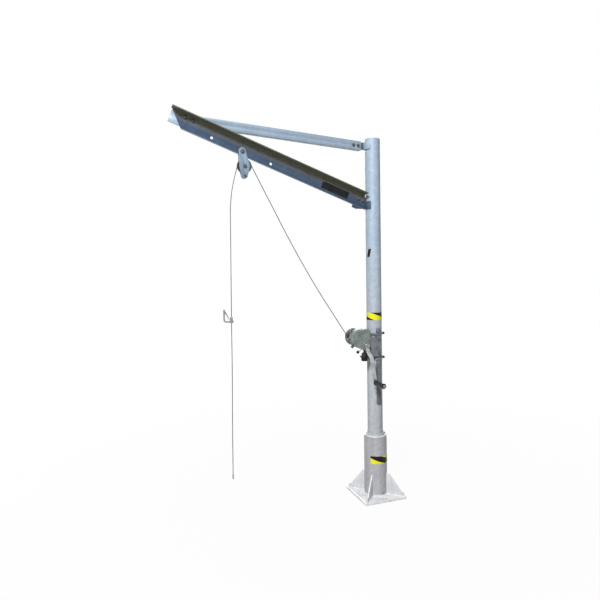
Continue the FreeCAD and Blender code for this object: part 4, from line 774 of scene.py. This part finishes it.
def weld(name, runs, radius, closed=False):
    line = runs_mesh(name + "_line", runs, closed)
    mesh = grown(name, line, WELD_TREE, Finish=WELD_ZINC, Bead_Radius=radius,
                 Ripple_Step=radius * RIPPLE_SHARE)
    return plain_piece(name, mesh, "base", WELD_ZINC, "foot_galvanised")


def gusset_run(turn_degrees, side):
    """The line where one side of a gusset meets the socket and the plate."""
    turn = Matrix.Rotation(math.radians(turn_degrees), 3, "Z")
    root = math.sqrt(SOCKET_R ** 2 - GUSSET_HALF ** 2)
    corners = (root, side, GUSSET_TOP), (root, side, PLATE_TOP), (GUSSET_FOOT_R, side, PLATE_TOP)
    return [turn @ Vector(corner) for corner in corners]


socket_turns = [math.radians(degrees) for degrees in range(0, 360, 5)]
socket_run = [(SOCKET_R * math.cos(t), SOCKET_R * math.sin(t), PLATE_TOP) for t in socket_turns]
weld("socket_weld", [socket_run], radius=0.005, closed=True)
gusset_sides = (GUSSET_HALF, -GUSSET_HALF)
gusset_runs = [gusset_run(turn, side) for turn in (45, 135, 225, 315) for side in gusset_sides]
weld("gusset_welds", gusset_runs, radius=0.0035)

JIB_FILM_CORNERS = [(0.194, -0.033), (0.393, -0.033), (0.393, 0.013), (0.194, 0.013)]
JIB_FILM_FRONT_Y = -0.0034
JIB_FILM_BACK_Y = -0.0029


def jib_point(u, v, y):
    """A point of the jib's own plane, u along it from the mast axis and v across it."""
    return (v * JIB_SIN - u * JIB_COS, y, JIB_AXIS_Z + u * JIB_SIN + v * JIB_COS)


def jib_film():
    """A plain black film on the front of the jib's web."""
    points = [jib_point(u, v, y) for y in (JIB_FILM_FRONT_Y, JIB_FILM_BACK_Y) for u, v in JIB_FILM_CORNERS]
    sides = [(i, i + 4, (i + 1) % 4 + 4, (i + 1) % 4) for i in range(4)]
    mesh = bpy.data.meshes.new("jib_film")
    mesh.from_pydata(points, [], [(0, 1, 2, 3), (7, 6, 5, 4)] + sides)
    work = bmesh.new()
    work.from_mesh(mesh)
    bmesh.ops.recalc_face_normals(work, faces=work.faces)
    work.to_mesh(mesh)
    work.free()
    return plain_piece("jib_film", mesh, "mast", PANEL_BLACK, "black_plastic")


jib_film()


# Turned grip, knob and pressed rings


def turned_mesh(name, profile, centre, axis, segments=56):
    """A body of revolution about Y or Z: the profile gives places along the axis and radii."""
    work = bmesh.new()
    rings = []
    for along, radius in profile:
        ring = []
        for i in range(segments):
            turn = 2 * math.pi * i / segments
            across = (radius * math.cos(turn), radius * math.sin(turn))
            spot = (across[0], along, across[1]) if axis == "Y" else (*across, along)
            ring.append(work.verts.new(Vector(centre) + Vector(spot)))
        rings.append(ring)
    for low, high in zip(rings, rings[1:]):
        for i in range(segments):
            following = (i + 1) % segments
            work.faces.new((low[i], low[following], high[following], high[i]))
    bmesh.ops.remove_doubles(work, verts=work.verts, dist=MERGE_DISTANCE)
    bmesh.ops.recalc_face_normals(work, faces=work.faces)
    return worked_mesh(name, work)


def ribbed(name, mesh, body, node, **sizes):
    """A turned body of black plastic with finger ribs, in place of its plain node."""
    finish = FINISHES["black_plastic"]
    finished = grown(name, mesh, RIBS_TREE, Finish=finish, **sizes)
    smooth_by_angle(finished, degrees=34.0)
    return plain_piece(name, finished, body, finish, "black_plastic", node)


GRIP_PROFILE = [
    (-0.2423, 0.0063), (-0.2423, 0.0135), (-0.2412, 0.0160), (-0.2388, 0.0170), (-0.2342, 0.0170),
    (-0.2314, 0.0160), (-0.2298, 0.0140), (-0.2250, 0.0130), (-0.2050, 0.0136), (-0.1848, 0.0139),
    (-0.1646, 0.0136), (-0.1446, 0.0130), (-0.1398, 0.0140), (-0.1382, 0.0160), (-0.1354, 0.0170),
    (-0.1308, 0.0170), (-0.1284, 0.0160), (-0.1273, 0.0135), (-0.1273, 0.0063), (-0.2423, 0.0063),
]
GRIP_MIDDLE_Y = -0.1848
grip_turned = turned_mesh("crank_grip_turned", GRIP_PROFILE, (GRIP_X, 0.0, GRIP_Z), "Y")
ribbed("crank_grip_ribbed", grip_turned, "grip", "crank_grip", Ribs=14, Ring_Radius=0.0128,
       Rib_Radius=0.0014, Rib_Length=0.078, Centre=(GRIP_X, GRIP_MIDDLE_Y, GRIP_Z),
       Turn=(math.pi / 2, 0.0, 0.0))

KNOB_PROFILE = [
    (0.98933, 0.0), (0.98933, 0.0064), (0.98873, 0.0070), (0.96833, 0.0070), (0.96833, 0.0150),
    (0.96740, 0.0172), (0.96550, 0.0180), (0.95100, 0.0180), (0.94900, 0.0188), (0.94833, 0.0205),
    (0.94833, 0.0272), (0.94750, 0.0292), (0.94550, 0.0300), (0.94220, 0.0300), (0.94010, 0.0292),
    (0.93933, 0.0272), (0.93933, 0.0218), (0.93750, 0.0206), (0.91850, 0.0200), (0.91640, 0.0192),
    (0.91533, 0.0174), (0.91533, 0.0100), (0.91633, 0.0090), (0.91633, 0.0),
]
KNOB_RIBS_Z = 0.9278
knob_turned = turned_mesh("freewheel_knob_turned", KNOB_PROFILE, (KNOB_X, KNOB_Y, 0.0), "Z")
ribbed("freewheel_knob_ribbed", knob_turned, "freewheel", "freewheel_knob", Ribs=20, Ring_Radius=0.0198,
       Rib_Radius=0.0015, Rib_Length=0.0165, Centre=(KNOB_X, KNOB_Y, KNOB_RIBS_Z), Turn=(0.0, 0.0, 0.0))

RIDGE = [
    (-0.0718, -0.0034), (-0.0729, -0.0026), (-0.0736, -0.0013), (-0.0738, 0.0),
    (-0.0736, 0.0013), (-0.0729, 0.0026), (-0.0718, 0.0034), (-0.0718, -0.0034),
]


def cover_ring(name, radius):
    """A pressed ridge round the drum's end of the gear cover."""
    profile = [(along, radius + out) for along, out in RIDGE]
    mesh = turned_mesh(name, profile, (DRUM_X, 0.0, DRUM_Z), "Y", segments=96)
    smooth_by_angle(mesh, degrees=40.0)
    return plain_piece(name, mesh, "mast", FINISHES["winch_plate"], "winch_plate")


cover_ring("cover_inner_ring", radius=0.030)
cover_ring("cover_outer_ring", radius=0.046)


# Broken edges on the visible plates, bolts and screws

BROKEN_EDGES = [
    ("base_plate", 0.0015), ("gussets", 0.0012), ("jib_beam", 0.0012), ("tie_bar", 0.0012),
    ("tip_cleat", 0.001), ("jib_bracket", 0.0012), ("tie_bracket", 0.0012), ("near_cheek", 0.0008),
    ("far_cheek", 0.0008), ("mounting_bar", 0.001), ("winch_bracket", 0.001), ("crank_arm", 0.001),
    ("thrust_collar", 0.001), ("frame_bolts", 0.0007), ("frame_nuts", 0.0007), ("hanger_bolt", 0.0007),
    ("sheave_pin", 0.0007), ("guard_pin", 0.0007), ("mount_bolts", 0.0006), ("crank_nut", 0.0007),
    ("cover_screws", 0.0006), ("band_screws", 0.0012),
]
for node_name, edge_width in BROKEN_EDGES:
    eased(node_name, edge_width)


# Camera, floor and light

CAMERA_AT = (-1.7267, -3.2889, 1.6)
CAMERA_RIGHT = Vector((0.9397, -0.3420, 0.0))
CAMERA_UP = Vector((0.0, 0.0, 1.0))
CAMERA_BACK = Vector((-0.3420, -0.9397, 0.0))
CAMERA_ROLL = math.radians(-0.6)
WHITE = (1.0, 1.0, 1.0, 1.0)
FLOOR_GREY = (0.4, 0.4, 0.4, 1.0)
FLOOR_HALF = 30.0
SKY_LIGHT = (0.86, 0.93, 1.0, 1.0)
SKY_STRENGTH = 0.08


def look_from():
    """The photograph's camera: level, a little left of the mast, with a slight roll."""
    data = bpy.data.cameras.new("camera")
    data.sensor_width = 36.0
    data.lens = 32.58
    data.shift_y = -0.07
    camera = held("camera", data)
    turn = Matrix((CAMERA_RIGHT, CAMERA_UP, CAMERA_BACK)).transposed().to_4x4()
    roll = Matrix.Rotation(CAMERA_ROLL, 4, "Z")
    camera.matrix_world = Matrix.Translation(CAMERA_AT) @ turn @ roll
    scene.camera = camera


def seen_rays(tree):
    """1 on rays from the camera, from glossy surfaces and through glass."""
    path = add(tree, "ShaderNodeLightPath").outputs
    direct = maths(tree, "MAXIMUM", path["Is Camera Ray"], path["Is Glossy Ray"])
    return maths(tree, "MAXIMUM", direct, path["Is Transmission Ray"])


def pale_floor():
    """A floor that is seen as white, and keeps a soft shadow near the foot."""
    mesh = bpy.data.meshes.new("floor")
    corners = [(x * FLOOR_HALF, y * FLOOR_HALF, 0.0) for x, y in ((-1, -1), (1, -1), (1, 1), (-1, 1))]
    mesh.from_pydata(corners, [], [(0, 1, 2, 3)])
    floor = held("floor", mesh)
    material, tree, shader, coords = blank_finish("floor_white")
    shader.inputs["Base Color"].default_value = FLOOR_GREY
    shader.inputs["Roughness"].default_value = 0.9
    glow = add(tree, "ShaderNodeEmission", {"Color": WHITE, "Strength": 1.0})
    white = ramp(tree, vector_maths(tree, "LENGTH", coords), low=0.8, high=3.0, first=0.965, last=1.0)
    share = maths(tree, "MULTIPLY", seen_rays(tree), white)
    mixed = add(tree, "ShaderNodeMixShader", {0: share, 1: shader.outputs[0], 2: glow.outputs[0]})
    tree.links.new(mixed.outputs[0], tree.nodes["Material Output"].inputs["Surface"])
    wear(floor, material)


def white_world():
    """A weak cool sky that lights the part, seen as plain white."""
    world = bpy.data.worlds.new("studio")
    scene.world = world
    world.use_nodes = True
    tree = world.node_tree
    light = tree.nodes["Background"]
    light.inputs["Color"].default_value = SKY_LIGHT
    light.inputs["Strength"].default_value = SKY_STRENGTH
    seen = add(tree, "ShaderNodeBackground", {"Color": WHITE, "Strength": 1.0})
    mixed = add(tree, "ShaderNodeMixShader", {0: seen_rays(tree), 1: light.outputs[0], 2: seen.outputs[0]})
    tree.links.new(mixed.outputs[0], tree.nodes["World Output"].inputs["Surface"])


def soft_lamp(name, place, aim, size, power):
    """A round lamp turned towards its aim."""
    data = bpy.data.lights.new(name, "AREA")
    data.shape = "DISK"
    data.size = size
    data.energy = power
    lamp = held(name, data)
    lamp.location = place
    lamp.rotation_euler = (Vector(aim) - Vector(place)).to_track_quat("-Z", "Y").to_euler()


look_from()
pale_floor()
white_world()
soft_lamp("key", place=(-4.9, -5.9, 7.5), aim=(-0.4, 0.0, 1.3), size=2.6, power=1260.0)
soft_lamp("back_fill", place=(1.5, 4.6, 3.4), aim=(-0.2, 0.0, 1.4), size=2.6, power=130.0)
